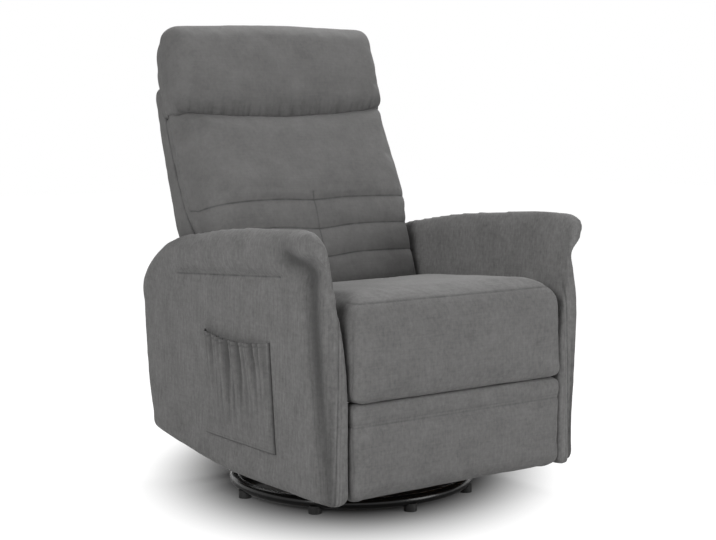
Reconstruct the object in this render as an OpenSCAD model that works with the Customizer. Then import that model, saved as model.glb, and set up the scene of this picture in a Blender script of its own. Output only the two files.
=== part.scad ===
// Swivel glider recliner: an upholstered chair on a steel ring base.
// X is across the chair, Y runs from front to back, Z is up from the floor.
// Every place is measured from the swivel axis, and on_axis() puts that axis at its place.

/* [Overall] */
// Width between the outer faces of the arms
arm_span = 700; // [660:10:780]
// Distance from the swivel axis forward to the flat front faces
front_reach = 391; // [380:1:405]
// Distance of the swivel axis in front of the middle of the depth
axis_offset = 10; // [0:1:20]

/* [Ring base] */
// Outer radius of the floor ring
ring_r = 292; // [275:1:310]
// Diameter of the ring tube
ring_tube_d = 25; // [20:1:30]
// Height of the ring above the floor
glide_h = 12; // [8:1:16]
// Number of floor glides under the ring
glide_count = 8; // [4:1:10]
// Diameter of one floor glide
glide_d = 30; // [24:1:36]
// Width of the flat cross arms inside the ring
cross_w = 48; // [40:1:60]
// Thickness of the flat cross arms
cross_t = 6; // [4:0.5:8]

/* [Swivel] */
// Radius of the two race plates
race_r = 84; // [76:1:95]
// Thickness of a race plate
race_t = 3; // [2.5:0.5:4]
// Radius of the circle of bearing balls
ball_ring_r = 64; // [58:1:70]
// Diameter of one bearing ball
ball_d = 8; // [6:0.5:9]
// Number of bearing balls
ball_count = 18; // [12:1:24]
// Diameter of the centre bolt
centre_bolt_d = 16; // [12:1:20]

/* [Glide] */
// Distance from one glide pivot to the other on a hanging link
glide_link_len = 90; // [80:1:96]
// Height of the upper glide pivots
glide_pivot_z = 180; // [174:1:186]
// Distance of the front hanging links before the swivel axis
glide_front = 130; // [120:1:140]
// Distance of the rear hanging links behind the swivel axis
glide_rear = 170; // [160:1:175]

/* [Arms] */
// Thickness of an arm at its foot
arm_t = 59; // [54:1:64]
// Height of the underside of the arms
arm_low = 86; // [80:1:92]
// Height of the highest point of the arms
arm_top = 658; // [640:1:680]
// Distance from the wooden rear rail to the rear ends of the arms
arm_tail = 91; // [80:1:104]
// Outward spread of the inner face from the seat to the crest
arm_flare = 45; // [35:1:55]
// Overhang of the padded roll beyond the outer face
roll_proud = 12; // [8:1:16]
// Extra overhang of the roll at the front
roll_tip = 11; // [0:1:14]
// Thickness of the plywood side of an arm
arm_ply_t = 18; // [15:1:21]

/* [Pocket] */
// Width of the side pocket
pocket_w = 288; // [240:1:300]
// Height of the side pocket at its ends
pocket_h = 236; // [200:1:250]
// Height of the lower edge of the pocket
pocket_low = 161; // [150:1:175]
// Distance of the pocket's front edge behind the arm's front
pocket_back = 184; // [175:1:200]
// How far the pocket stands out from the arm
pocket_deep = 18; // [14:0.5:20]

/* [Seat] */
// Height of the underside of the seat cushion
seat_low = 289; // [285:1:295]
// Height of the seam along the front edge of the seat
seat_seam = 501; // [480:1:520]
// Rise of the seat's top from its front seam to its crest
seat_rise = 18; // [12:1:24]
// Gap between the seat cushion and each arm
seat_gap = 4; // [3:0.5:6]
// How far the seat rolls forward when the back reclines
seat_travel = 60; // [40:1:65]

/* [Back] */
// Lean of the back from upright, in degrees
back_lean = 18.5; // [16:0.5:20]
// Distance of the back hinge behind the swivel axis
hinge_back = 190; // [185:1:195]
// Height of the back hinge
hinge_z = 330; // [325:1:336]
// Distance along the back from the hinge to the seam under the pillow
pillow_seam_t = 555; // [540:1:570]
// Distance along the back from the hinge to the top of the pillow
back_top_t = 786; // [760:1:800]
// Distance along the back from the hinge to the top of the outer shell
shell_top_t = 652; // [640:1:665]
// Depth of the lumbar cushion in front of the hinge line
lumbar_deep = 128; // [120:1:134]
// Extra crown in the middle of the lumbar cushion
lumbar_crown = 24; // [18:1:28]
// Depth of the outer shell behind the hinge line
shell_deep = 41; // [38:1:46]

/* [Footrest] */
// Height of the lower edge of the footrest pad
pad_low = 78; // [74:1:84]
// Height of the upper edge of the footrest pad
pad_high = 286; // [280:1:287]
// Thickness of the footrest pad
pad_t = 39; // [34:1:44]
// Thickness of the footrest board
board_t = 15; // [12:1:18]
// Height of the cross seam on the footrest pad
pad_seam = 241; // [225:1:250]

/* [Steel linkage] */
// Thickness of the steel side plates
plate_t = 3; // [2.5:0.5:4]
// Thickness of a steel link
link_t = 4; // [3:0.5:4.5]
// Width of a steel link between its eyes
link_w = 16; // [14:1:18]
// Radius of a link pivot
pivot_r = 5; // [4:0.25:5.5]
// Distance of the rear link pivot behind the front faces
pivot_a_back = 121; // [118:1:124]
// Height of the rear link pivot
pivot_a_z = 262; // [260:1:264]
// Length of a rear footrest link
rear_link_len = 192; // [188:1:195]
// Angle of a folded rear link below level
rear_link_fold = 8; // [6:0.5:9]
// Distance of the board pivot behind the front faces
board_pivot_back = 79; // [77:1:82]
// Height of the board pivot
board_pivot_z = 150; // [145:1:155]

/* [Release] */
// Width of the release tab
tab_w = 34; // [30:1:40]
// Height of the release tab
tab_h = 58; // [50:1:64]
// Diameter of the release cable's sleeve
cable_d = 4; // [3:0.5:5]

/* [Hidden] */

front_y = -front_reach;
axis_y = -axis_offset;
// Running clearance around every pin, and the overrun of every cut
fit = 0.05;
over = 1;
round_fn = 48;
wire_fn = 24;

// Ring and swivel stack, upward from the floor
ring_mid_r = ring_r - ring_tube_d / 2;
ring_z = glide_h + ring_tube_d / 2;
cross_low = ring_z - cross_t / 2;
lower_race_z = cross_low + cross_t;
race_rim_h = ball_d * 0.3;
race_rim_w = ball_d / 3;
ball_z = lower_race_z + race_t + ball_d / 2;
upper_race_z = ball_z + ball_d / 2 + fit;
beam_low = upper_race_z + race_t;
beam_h = 14;
beam_w = 44;
beam_wall = 3;
bolt_head_t = centre_bolt_d * 0.4;
bolt_head_r = centre_bolt_d * 0.85;

// Layers of flat steel between the arms, counted inward from the side plates
inner_x = arm_span / 2 - arm_t;
plate_x = inner_x - plate_t;
first_gap = 3;
layer_gap = 1;
layer_step = link_t + layer_gap;
function layer_x(k) = plate_x - first_gap - link_t - k * layer_step;
rear_layer_count = 0;
front_layer_count = 1;
control_layer_count = 2;
rear_control_layer_count = 3;
carrier_layer_count = 2;
bracket_layer_count = 3;
recline_layer_count = 4;
glide_layer_count = 6;
upright_layer_count = 7;
eye_r = link_w * 0.7;
head_r = pivot_r * 1.7;
head_t = layer_gap * 0.8;
outer_head_t = 2;

// Steps between the pivots of the footrest linkage
board_step_y = 10;
board_step_z = 73;
control_step_y = 30.3;
control_step_z = 6.5;
rear_control_reach = 40;
front_control_reach = 170;
front_control_rise = 16;
pivot_a = [front_y + pivot_a_back, pivot_a_z];
knee = pivot_a + rear_link_len * [cos(rear_link_fold), -sin(rear_link_fold)];
board_pivot = [front_y + board_pivot_back, board_pivot_z];
upper_board_pivot = board_pivot + [-board_step_y, board_step_z];
rear_control_pivot = pivot_a + [-control_step_y, control_step_z];
rear_dir = (knee - pivot_a) / rear_link_len;
front_dir = (board_pivot - knee) / norm(board_pivot - knee);
rear_control_end = knee + front_dir * rear_control_reach;
front_control_pivot = pivot_a + rear_dir * front_control_reach + [-rear_dir[1], rear_dir[0]] * front_control_rise;

// Pivots of the glide, the seat slide and the recline
glide_top = [[-glide_front, glide_pivot_z], [glide_rear, glide_pivot_z]];
glide_low_z = glide_pivot_z - glide_link_len;
hinge = [hinge_back, hinge_z];
slot_drop = 48;
slot_z = hinge_z - slot_drop;
roller_r = 7;
roller_front = 60;
roller_rear = 150;
roller_y = [-roller_front, roller_rear];
recline_step_y = 97.2;
recline_step_z = 160.4;
recline_pivot = hinge - [recline_step_y, recline_step_z];
recline_arm = 70;
recline_stud = hinge + recline_arm * [-sin(back_lean), -cos(back_lean)];

// Seat and its frame
seat_half = inner_x - seat_gap;
rail_t = 22;
rail_h = 50;
frame_drop = 30;
frame_low = hinge_z - frame_drop;
frame_half = layer_x(carrier_layer_count);
frame_inset = 44;
frame_front = front_y + frame_inset;
frame_rear = 24;
frame_air = 1;
seat_edge = 22;
seat_front_crown = 11;
seam_dip = 3;
seam_half = 6;

// Back, in its own frame: depth back from the hinge line, and distance along it
back_half = inner_x - seat_gap;
post_t = 22;
post_front = -12;
post_deep = 30;
post_drop = 60;
post_low = 14;
shell_side = 16;
cavity_half = back_half - shell_side;
soft_low_t = 46;
skirt_t = 6;
skirt_drop = 92;
skirt_air = 8;
skirt_half = layer_x(recline_layer_count) - skirt_air;
seam_t = [325, 252, 181, 108];
centre_seam_t = 345;
webbing_t = 2;
webbing_w = 50;
rail_t_low = 62;
bracket_up = 150;

// Arms
arm_front = front_y + 3;
arm_h = arm_top - arm_low;
rail_step = 93;
rear_rail_y = hinge_back + rail_step;
arm_d = rear_rail_y + arm_tail - arm_front;
panel_recess = 4;
panel_x = arm_span / 2 - panel_recess;
arm_rear_rise = 36;
arm_rear_tuck = 24;
arm_rear_lean = 42;
ply_inset = 21;
ply_x = inner_x + ply_inset;
ply_front = 46;
ply_rear = 64;
ply_low = 12;
cleat_h = 176;
cleat_up = 18;
cleat_low = arm_low + cleat_up;

// Small shared modules

module on_axis() {
    translate([0, axis_y, 0]) children();
}

module both_sides() {
    children();
    mirror([1, 0, 0]) children();
}

// Round bar lying across the chair, from x over a length, centred on a [y, z] place
module cross_bar(x, place, r, length, fn = round_fn) {
    translate([x, place[0], place[1]]) rotate([0, 90, 0]) cylinder(r = r, h = length, $fn = fn);
}

// Flat steel link between two [y, z] places, with a round eye at each end
module flat_link(x, a, b, holes = [true, true]) {
    length = norm(b - a);
    translate([x, a[0], a[1]]) rotate([atan2(b[1] - a[1], b[0] - a[0]), 0, 0]) difference() {
        union() {
            translate([0, 0, -link_w / 2]) cube([link_t, length, link_w]);
            for (y = [0, length]) translate([0, y, 0]) rotate([0, 90, 0])
                cylinder(r = eye_r, h = link_t, $fn = round_fn);
        }
        for (i = [0, 1]) if (holes[i]) translate([-over, i * length, 0]) rotate([0, 90, 0])
            cylinder(r = pivot_r + fit, h = link_t + 2 * over, $fn = round_fn);
    }
}

// Skin over a row of closed rings of equal count, with a fan at each end
function middle(ring) = [for (k = [0:2]) [for (p = ring) p[k]] * [for (p = ring) 1] / len(ring)];

module loft(rings) {
    n = len(rings[0]);
    m = len(rings);
    points = concat([for (r = rings) each r], [middle(rings[0]), middle(rings[m - 1])]);
    sides = [for (i = [0:m - 2], j = [0:n - 1])
        let (a = i * n + j, b = i * n + (j + 1) % n, c = b + n, d = a + n) each [[a, d, c], [a, c, b]]];
    first = [for (j = [0:n - 1]) [m * n, j, (j + 1) % n]];
    last = [for (j = [0:n - 1]) [m * n + 1, (m - 1) * n + (j + 1) % n, (m - 1) * n + j]];
    polyhedron(points = points, faces = concat(sides, first, last), convexity = 6);
}

// Shares of a soft piece's half width at which its outline is drawn, and how far
// the outline is drawn in there, as a share of the edge radius
side_shares = [0, 0.03, 0.3, 0.6, 0.84, 0.93, 0.98, 1];
inset_shares = [0, 0, 0, 0, 0.08, 0.25, 0.55, 1];
function mirrored(list) = concat([for (i = [len(list) - 1:-1:1]) -list[i]], list);
side_stations = mirrored(side_shares);
function inset_at(s, r) = r * lookup(abs(s), [for (i = [0:len(side_shares) - 1]) [side_shares[i], inset_shares[i]]]);
function crown_at(s) = 1 - pow(abs(s), 2.6);

// Base ring

module ring_tube() {
    color("#141414") on_axis() translate([0, 0, ring_z]) rotate_extrude($fn = 96)
        translate([ring_mid_r, 0]) circle(d = ring_tube_d, $fn = 32);
}

module cross_arms() {
    reach = ring_mid_r - ring_tube_d / 2;
    color("#1c1c1c") on_axis() translate([0, 0, cross_low]) difference() {
        intersection() {
            union() for (a = [45, 135]) rotate([0, 0, a])
                translate([-ring_r, -cross_w / 2, 0]) cube([2 * ring_r, cross_w, cross_t]);
            cylinder(r = reach + ring_tube_d / 4, h = cross_t, $fn = 96);
        }
        translate([0, 0, ring_z - cross_low]) rotate_extrude($fn = 96)
            translate([ring_mid_r, 0]) circle(d = ring_tube_d, $fn = 32);
        translate([0, 0, -over]) cylinder(d = centre_bolt_d + 2 * fit, h = cross_t + 2 * over, $fn = round_fn);
    }
}

module floor_glides() {
    color("#262626") on_axis() difference() {
        for (i = [0:glide_count - 1]) rotate([0, 0, 360 / glide_count * i - 98])
            translate([ring_mid_r, 0, 0]) cylinder(d = glide_d, h = ring_z - ring_tube_d / 4, $fn = round_fn);
        translate([0, 0, ring_z]) rotate_extrude($fn = 96)
            translate([ring_mid_r, 0]) circle(d = ring_tube_d, $fn = 32);
    }
}

// One race plate: a disc with two low rims that guide the balls
module race_plate(rim_up) {
    rim_z = rim_up ? race_t : -race_rim_h;
    difference() {
        union() {
            cylinder(r = race_r, h = race_t, $fn = 96);
            for (side = [-1, 1]) translate([0, 0, rim_z]) difference() {
                cylinder(r = ball_ring_r + side * ball_d * 0.62 + race_rim_w / 2, h = race_rim_h, $fn = 96);
                translate([0, 0, -over])
                    cylinder(r = ball_ring_r + side * ball_d * 0.62 - race_rim_w / 2, h = race_rim_h + 2 * over, $fn = 96);
            }
        }
        translate([0, 0, -race_t]) cylinder(d = centre_bolt_d + 2 * fit, h = 3 * race_t, $fn = round_fn);
    }
}

module lower_race() {
    color("#2b2b2b") on_axis() translate([0, 0, lower_race_z]) race_plate(true);
}

module race_balls() {
    color("#b8bcc0") on_axis() for (i = [0:ball_count - 1]) rotate([0, 0, 360 / ball_count * i])
        translate([ball_ring_r, 0, ball_z]) sphere(d = ball_d, $fn = 24);
}

module centre_bolt() {
    color("#8f9397") on_axis() {
        translate([0, 0, cross_low - bolt_head_t]) cylinder(r = bolt_head_r, h = bolt_head_t, $fn = 6);
        translate([0, 0, cross_low - bolt_head_t / 2])
            cylinder(d = centre_bolt_d, h = beam_low + beam_h + 1.5 * bolt_head_t + race_t - cross_low, $fn = round_fn);
    }
}

module centre_nut() {
    color("#8f9397") on_axis() translate([0, 0, beam_low + beam_h + fit]) difference() {
        cylinder(r = bolt_head_r, h = bolt_head_t, $fn = 6);
        translate([0, 0, -over]) cylinder(d = centre_bolt_d, h = bolt_head_t + 2 * over, $fn = round_fn);
    }
}

// Swivelling carriage

module upper_race() {
    color("#2b2b2b") on_axis() translate([0, 0, upper_race_z]) race_plate(false);
}

// A channel beam lying across the chair, open underneath
module channel_beam(half, y) {
    translate([-half, y - beam_w / 2, beam_low]) difference() {
        cube([2 * half, beam_w, beam_h]);
        translate([-over, beam_wall, -over]) cube([2 * half + 2 * over, beam_w - 2 * beam_wall, beam_h - beam_wall + over]);
    }
}

module carriage_beams() {
    half = layer_x(upright_layer_count);
    spine = race_r * 0.8;
    color("#202020") on_axis() difference() {
        union() {
            for (p = glide_top) channel_beam(half, p[0]);
            translate([-spine, -glide_front + beam_w / 2, beam_low])
                cube([2 * spine, glide_front + glide_rear - beam_w, beam_h]);
        }
        translate([0, 0, beam_low - over]) cylinder(d = centre_bolt_d + 2 * fit, h = beam_h + 2 * over, $fn = round_fn);
    }
}

// Outline of one upright: a foot plate with a tapered post to each glide pivot
module upright_outline() {
    foot_h = beam_h * 2;
    difference() {
        union() {
            translate([-glide_front - beam_w / 2, beam_low]) square([glide_front + glide_rear + beam_w, foot_h]);
            for (p = glide_top) {
                polygon([
                    [p[0] - beam_w / 2, beam_low + foot_h / 2], [p[0] + beam_w / 2, beam_low + foot_h / 2],
                    [p[0] + eye_r * 0.8, glide_pivot_z], [p[0] - eye_r * 0.8, glide_pivot_z]
                ]);
                translate([p[0], glide_pivot_z]) circle(r = eye_r, $fn = round_fn);
            }
        }
        for (p = glide_top) translate([p[0], glide_pivot_z]) circle(r = pivot_r + fit, $fn = round_fn);
    }
}

module carriage_uprights() {
    color("#202020") on_axis() both_sides() translate([layer_x(upright_layer_count), 0, 0])
        rotate([90, 0, 90]) linear_extrude(height = link_t) upright_outline();
}

module upper_glide_pins() {
    x = layer_x(upright_layer_count);
    color("#9a9ea2") on_axis() both_sides() for (p = glide_top) {
        cross_bar(x - outer_head_t, p, head_r, outer_head_t);
        cross_bar(x - outer_head_t / 2, p, pivot_r, outer_head_t / 2 + link_t + layer_step + head_t / 2);
        cross_bar(x + link_t + layer_step, p, head_r, outer_head_t);
    }
}

// Hanging links of the glide

module glide_link_pair(i) {
    both_sides() flat_link(layer_x(glide_layer_count), glide_top[i], [glide_top[i][0], glide_low_z]);
}

module front_glide_links() {
    color("#3a3a3a") on_axis() glide_link_pair(0);
}

module rear_glide_links() {
    color("#3a3a3a") on_axis() glide_link_pair(1);
}

// Chair frame: side plates with slots for the seat rollers

module side_plate_outline() {
    head = pivot_a[1] + eye_r * 1.5;
    mid_low = slot_z - side_drop;
    rear_y = roller_y[1] + 4 * roller_r;
    difference() {
        union() {
            polygon([
                [rear_control_pivot[0] - eye_r, pivot_a[1] - 2 * eye_r], [rear_control_pivot[0] - eye_r, head],
                [roller_y[0] - seat_travel - 3 * roller_r, slot_z + 2.5 * roller_r], [rear_y, slot_z + 2.5 * roller_r],
                [tube_places[1][0] + 1.5 * tube_r, tube_places[1][1]], [tube_places[1][0], tube_places[1][1] - 1.3 * tube_r],
                [glide_rear, tube_places[1][1] - 1.3 * tube_r], [glide_rear - 2 * eye_r, mid_low],
                [roller_y[0] - seat_travel, mid_low], [pivot_a[0] + 2 * eye_r, pivot_a[1] - 2 * eye_r]
            ]);
            for (p = glide_top) {
                polygon([
                    [p[0] - 3 * eye_r, mid_low + eye_r], [p[0] + 3 * eye_r, mid_low + eye_r],
                    [p[0] + eye_r * 0.8, glide_low_z], [p[0] - eye_r * 0.8, glide_low_z]
                ]);
                translate([p[0], glide_low_z]) circle(r = eye_r * 1.1, $fn = round_fn);
            }
            polygon([
                [recline_pivot[0] - 3 * eye_r, mid_low + eye_r], [recline_pivot[0] + 2 * eye_r, mid_low + eye_r],
                [recline_pivot[0] + eye_r * 0.8, recline_pivot[1]], [recline_pivot[0] - eye_r * 0.8, recline_pivot[1]]
            ]);
            translate(recline_pivot) circle(r = eye_r * 1.1, $fn = round_fn);
        }
        for (y = roller_y) {
            translate([y - seat_travel, slot_z - roller_r - fit]) square([seat_travel, 2 * (roller_r + fit)]);
            for (d = [0, seat_travel]) translate([y - d, slot_z]) circle(r = roller_r + 2 * fit, $fn = round_fn);
        }
    }
}

module side_plates() {
    color("#2a2a2a") on_axis() both_sides() difference() {
        translate([plate_x, 0, 0]) rotate([90, 0, 90]) linear_extrude(height = plate_t) side_plate_outline();
        for (p = bolt_places()) cross_bar(plate_x - over, p, arm_bolt_r + fit, plate_t + 2 * over);
    }
}

module lower_glide_pins() {
    x = layer_x(glide_layer_count);
    color("#9a9ea2") on_axis() both_sides() for (p = glide_top) {
        place = [p[0], glide_low_z];
        cross_bar(x - head_t, place, head_r, head_t - fit);
        cross_bar(x - head_t / 2, place, pivot_r, plate_x - x + head_t / 2);
        cross_bar(x + layer_step, place, head_r, plate_x - x - layer_step);
    }
}

// Two steel tubes that tie the side plates together
tube_r = 11;
tube_wall = 2;
rear_tube_y = 232;
side_drop = 6.5 * roller_r;
tube_places = [[roller_y[0] + 6 * roller_r, slot_z - side_drop + 1.3 * tube_r], [rear_tube_y, glide_pivot_z]];

module cross_tubes() {
    color("#2a2a2a") on_axis() for (p = tube_places) difference() {
        cross_bar(-plate_x, p, tube_r, 2 * plate_x);
        cross_bar(-plate_x - over, p, tube_r - tube_wall, 2 * (plate_x + over));
    }
}

// Arms

arm_bolt_r = 4;
function bolt_places() = [
    [pivot_a[0] + 3 * eye_r, pivot_a[1] - eye_r], [roller_y[0] + 2 * roller_r, slot_z - 3.5 * roller_r],
    [roller_y[1] - 8 * roller_r, slot_z - 3.5 * roller_r]
];

// Outline of the plywood side, inside the padding all round
module ply_outline(grow) {
    front = arm_front + ply_front - grow;
    rear = arm_front + arm_d - ply_rear + grow;
    low = arm_low + ply_low - grow;
    high = arm_low + arm_h * ply_top_share + grow;
    polygon([
        [front, low], [0, low], [rear, low + arm_rear_rise], [rear, high - arm_h * ply_rear_share],
        [rear - arm_d * 0.2, high], [front, high]
    ]);
}

module arm_ply() {
    translate([ply_x, 0, 0]) rotate([90, 0, 90]) linear_extrude(height = arm_ply_t) ply_outline(0);
}

ply_top_share = 0.65;
ply_rear_share = 0.09;

// Mounting cleat on the inner face of the plywood, flush with the padding
module arm_cleat(grow) {
    length = roller_y[1] + 4 * roller_r - rear_control_pivot[0] + eye_r;
    translate([inner_x - grow, rear_control_pivot[0] - eye_r - grow, cleat_low - grow])
        cube([ply_x - inner_x + grow, length + 2 * grow, cleat_h + 2 * grow]);
}

module arm_frame() {
    difference() {
        union() {
            arm_ply();
            arm_cleat(0);
        }
        for (p = bolt_places()) cross_bar(inner_x - over, p, arm_bolt_r, over + ply_x - inner_x);
    }
}

module left_arm_frame() {
    color("#c9a877") on_axis() mirror([1, 0, 0]) arm_frame();
}

module right_arm_frame() {
    color("#c9a877") on_axis() arm_frame();
}

// Height of the arm's top along its depth, both as shares of the arm's own sizes
arm_top_shares = [
    [0, 0.9], [0.005, 0.932], [0.018, 0.957], [0.042, 0.974], [0.1, 0.989], [0.175, 0.998], [0.3, 1],
    [0.42, 0.982], [0.55, 0.962], [0.66, 0.938], [0.77, 0.9], [0.87, 0.835], [0.94, 0.765], [0.985, 0.7], [1, 0.68]
];
// How far the arm's outline is drawn in towards its two ends, as a share of the edge radius
arm_inset_shares = [
    [0, 0.8], [0.005, 0.4], [0.018, 0.12], [0.042, 0.03], [0.1, 0], [0.87, 0], [0.94, 0.06], [0.985, 0.32], [1, 0.62]
];
arm_edge = 20;
// Inner face, crest, roll and outer face as [share across, share of height] from foot to foot
arm_inner_shares = [[0, 0.05], [0, 0.2], [0, 0.38], [0.22, 0.6], [0.5, 0.75], [0.76, 0.88], [0.9, 0.95]];
arm_roll_shares = [[0.3, 0.99], [0.62, 1], [0.85, 0.985], [1, 0.955], [0.98, 0.92], [0.6, 0.875]];
arm_side_shares = [0.72, 0.5, 0.25, 0.1, 0.04];
neck_share = 0.77;
front_share = 0.1;

function arm_ring(s) =
    let (
        inset = arm_edge * lookup(s, arm_inset_shares),
        rear = max(0, (s - 0.64) / 0.36),
        front = max(0, 1 - s / 0.2),
        low = arm_low + arm_rear_rise * max(0, (s - 0.5) / 0.5),
        high = arm_low + arm_h * lookup(s, arm_top_shares),
        h = high - low,
        y = arm_front + arm_d * s,
        lean = arm_rear_lean * rear / arm_h,
        inner = inner_x + inset,
        outer = arm_span / 2 - arm_rear_tuck * rear * rear - inset,
        recess = panel_recess * (s > 0.08 && s < 0.8 ? 1 : 0),
        tip = outer + roll_proud * (1 - rear) + roll_tip * front + inset / 4,
        crest = inner + (tip - inner) * arm_flare / (arm_t + roll_proud),
        neck = neck_share + front_share * front
    )
    concat(
        [for (p = arm_inner_shares) [inner + (crest - inner) * p[0], y, low + h * p[1]]],
        [for (p = arm_roll_shares) [crest + (tip - crest) * p[0], y, low + h * (p[1] < 0.95 ? p[1] - 0.04 * (1 - front) : p[1])]],
        [[outer - recess, y, low + h * neck]],
        [for (p = arm_side_shares) [outer - recess * (p > 0.06 ? 1 : 0), y, low + h * (p > neck - 0.02 ? neck - 0.03 : p)]],
        [[outer - arm_edge / 3, y, low + inset / 2], [inner + arm_edge / 3, y, low + inset / 2]]
    );

function leaned(ring, s) = [for (p = ring) [p[0], p[1] + arm_rear_lean * max(0, (s - 0.64) / 0.36) * (p[2] - arm_low) / arm_h, p[2]]];

module arm_cover() {
    stations = [for (p = arm_top_shares) p[0]];
    difference() {
        loft([for (s = stations) leaned(arm_ring(s), s)]);
        translate([ply_x - fit, 0, 0]) rotate([90, 0, 90]) linear_extrude(height = arm_ply_t + 2 * fit) ply_outline(fit);
        for (x = [0, -over]) translate([x, 0, 0]) arm_cleat(fit);
    }
}

groove_w = cable_d * 2;

module left_arm_cover() {
    color("#6d6e6b") on_axis() mirror([1, 0, 0]) difference() {
        arm_cover();
        translate([inner_x - over, cable_y - groove_w / 2, cable_low])
            cube([groove_w + over, groove_w, cable_top - cable_low]);
    }
}

module right_arm_cover() {
    color("#6d6e6b") on_axis() arm_cover();
}

// Cloth pocket: a gathered pouch with a sagging top edge and upright folds
pocket_cloth = 2;
pocket_sag = 14;
pocket_folds = 6;
fold_deep = 3;
pocket_rows = [0, 0.12, 0.35, 0.6, 0.85, 1];
pocket_columns = 24;

function pocket_face(u, v, wall) =
    let (
        edge = pow(sin(180 * u), 0.35),
        swell = 0.45 + 0.55 * v,
        fold = fold_deep * v * cos(360 * pocket_folds * u) * edge
    )
    max(pocket_cloth, (pocket_deep - fold_deep) * edge * swell + fold * (0.4 + 0.6 * v)) - wall;

function pocket_ring(v, wall, back, rise) =
    let (
        front = arm_front + pocket_back,
        top = pocket_low + pocket_h,
        u_list = [for (i = [0:pocket_columns]) wall / pocket_w + (1 - 2 * wall / pocket_w) * i / pocket_columns]
    )
    concat(
        [for (u = u_list) let (sag = pocket_sag * sin(180 * u), low = pocket_low + rise)
            [panel_x + max(back + wall / 3, pocket_face(u, v, wall)), front + pocket_w * u, low + (top - sag - low) * v]],
        [for (i = [pocket_columns:-1:0]) let (u = u_list[i], sag = pocket_sag * sin(180 * u), low = pocket_low + rise)
            [panel_x + back, front + pocket_w * u, low + (top - sag - low) * v]]
    );

module side_pocket() {
    color("#696a67") on_axis() mirror([1, 0, 0]) difference() {
        loft([for (v = pocket_rows) pocket_ring(v, 0, 0, 0)]);
        loft([for (v = [0.05, 0.35, 0.6, 0.85, 1, 1.2]) pocket_ring(v, pocket_cloth, pocket_cloth / 2, pocket_cloth)]);
    }
}

// Wooden rail between the rear ends of the arms
module rear_rail() {
    color("#c9a877") on_axis() translate([-inner_x, rear_rail_y, arm_low + arm_rear_rise + rail_t / 3])
        cube([2 * inner_x, rail_t, rail_h * 1.5]);
}

module arm_bolts() {
    color("#9a9ea2") on_axis() both_sides() for (p = bolt_places()) {
        cross_bar(plate_x - outer_head_t, p, arm_bolt_r * 1.8, outer_head_t, 6);
        cross_bar(plate_x - outer_head_t / 2, p, arm_bolt_r, outer_head_t / 2 + plate_t + arm_t / 4);
    }
}

// Fixed studs of the footrest links and of the recline links

module plate_stud(place, layer) {
    x = layer_x(layer);
    cross_bar(x - head_t, place, head_r, head_t - fit);
    cross_bar(x - head_t / 2, place, pivot_r, plate_x - x + head_t / 2);
    cross_bar(x + layer_step, place, pivot_r * 1.35, plate_x - x - layer_step);
}

module footrest_pivot_studs() {
    x = layer_x(rear_layer_count);
    color("#9a9ea2") on_axis() both_sides() {
        cross_bar(x - head_t, pivot_a, head_r, head_t - fit);
        cross_bar(x - head_t / 2, pivot_a, pivot_r, plate_x - x + head_t / 2);
        plate_stud(rear_control_pivot, rear_control_layer_count);
    }
}

module recline_pivot_studs() {
    color("#9a9ea2") on_axis() both_sides() plate_stud(recline_pivot, recline_layer_count);
}

// Release: a pull tab in the gap beside the seat, its guide and its cable
cable_y = -214;
cable_x = inner_x + cable_d * 1.1;
cable_low = slot_z + 3.4 * roller_r;
cable_rise = 184;
cable_top = seat_low + cable_rise;
tab_travel = 14;
tab_t = 5;
stem_len = 2.2 * tab_travel;

module release_cable() {
    color("#101010") on_axis() translate([-cable_x, cable_y, cable_low]) 
        cylinder(d = cable_d, h = cable_top - cable_low - stem_len - over, $fn = wire_fn);
}

module tab_guide() {
    color("#1b1b1b") on_axis() translate([-cable_x, cable_y, cable_top - tab_travel]) difference() {
        translate([-cable_d, -cable_d, 0]) cube([2 * cable_d, 2 * cable_d, tab_travel]);
        translate([0, 0, -over]) cylinder(r = pivot_r / 2 + 2 * fit, h = tab_travel + 2 * over, $fn = wire_fn);
    }
}

module release_tab() {
    stem_r = pivot_r / 2;
    color("#1b1b1b") on_axis() translate([-cable_x, cable_y, cable_top]) {
        translate([0, 0, -stem_len]) cylinder(r = stem_r, h = stem_len + over, $fn = wire_fn);
        difference() {
            translate([-tab_t / 2, -tab_w / 2, 0]) cube([tab_t, tab_w, tab_h]);
            translate([-tab_t, -tab_w / 2 + tab_t, tab_h * 0.45]) cube([2 * tab_t, tab_w - 2 * tab_t, tab_h * 0.55 - tab_t]);
        }
    }
}

// Seat

module seat_frame() {
    length = frame_rear - frame_front;
    color("#c9a877") on_axis() translate([0, 0, frame_low]) {
        for (side = [-1, 1]) translate([side * (frame_half - rail_t / 2) - rail_t / 2, frame_front, 0])
            cube([rail_t, length, rail_h]);
        for (y = [frame_front, frame_rear - rail_t]) translate([rail_t - frame_half, y, 0])
            cube([2 * (frame_half - rail_t), rail_t, rail_h]);
    }
}

spring_r = 2;
spring_count = 5;
spring_swing = 20;
spring_waves = 5;
spring_steps = 8;

// Sinuous wire spring between the front and rear rails
module sinuous_spring(x) {
    start = frame_front + rail_t;
    span = frame_rear - rail_t - start;
    count = spring_waves * spring_steps;
    z = frame_low + rail_h - 2 * spring_r;
    function wire_x(i) = x + spring_swing * sin(360 * i / spring_steps);
    function wire_y(i) = start + span * i / count;
    function heading(i) = atan2(wire_y(1) - wire_y(0), spring_swing * cos(360 * i / spring_steps) * 360 / spring_steps * PI / 180);
    rings = [for (i = [0:count]) let (a = i == 0 || i == count ? 90 : heading(i))
        [for (k = [0:5]) let (b = 60 * k)
            [wire_x(i) + spring_r * cos(b) * sin(a), wire_y(i) - spring_r * cos(b) * cos(a), z + spring_r * sin(b)]]];
    loft([for (r = rings) [for (k = [5:-1:0]) r[k]]]);
}

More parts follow.
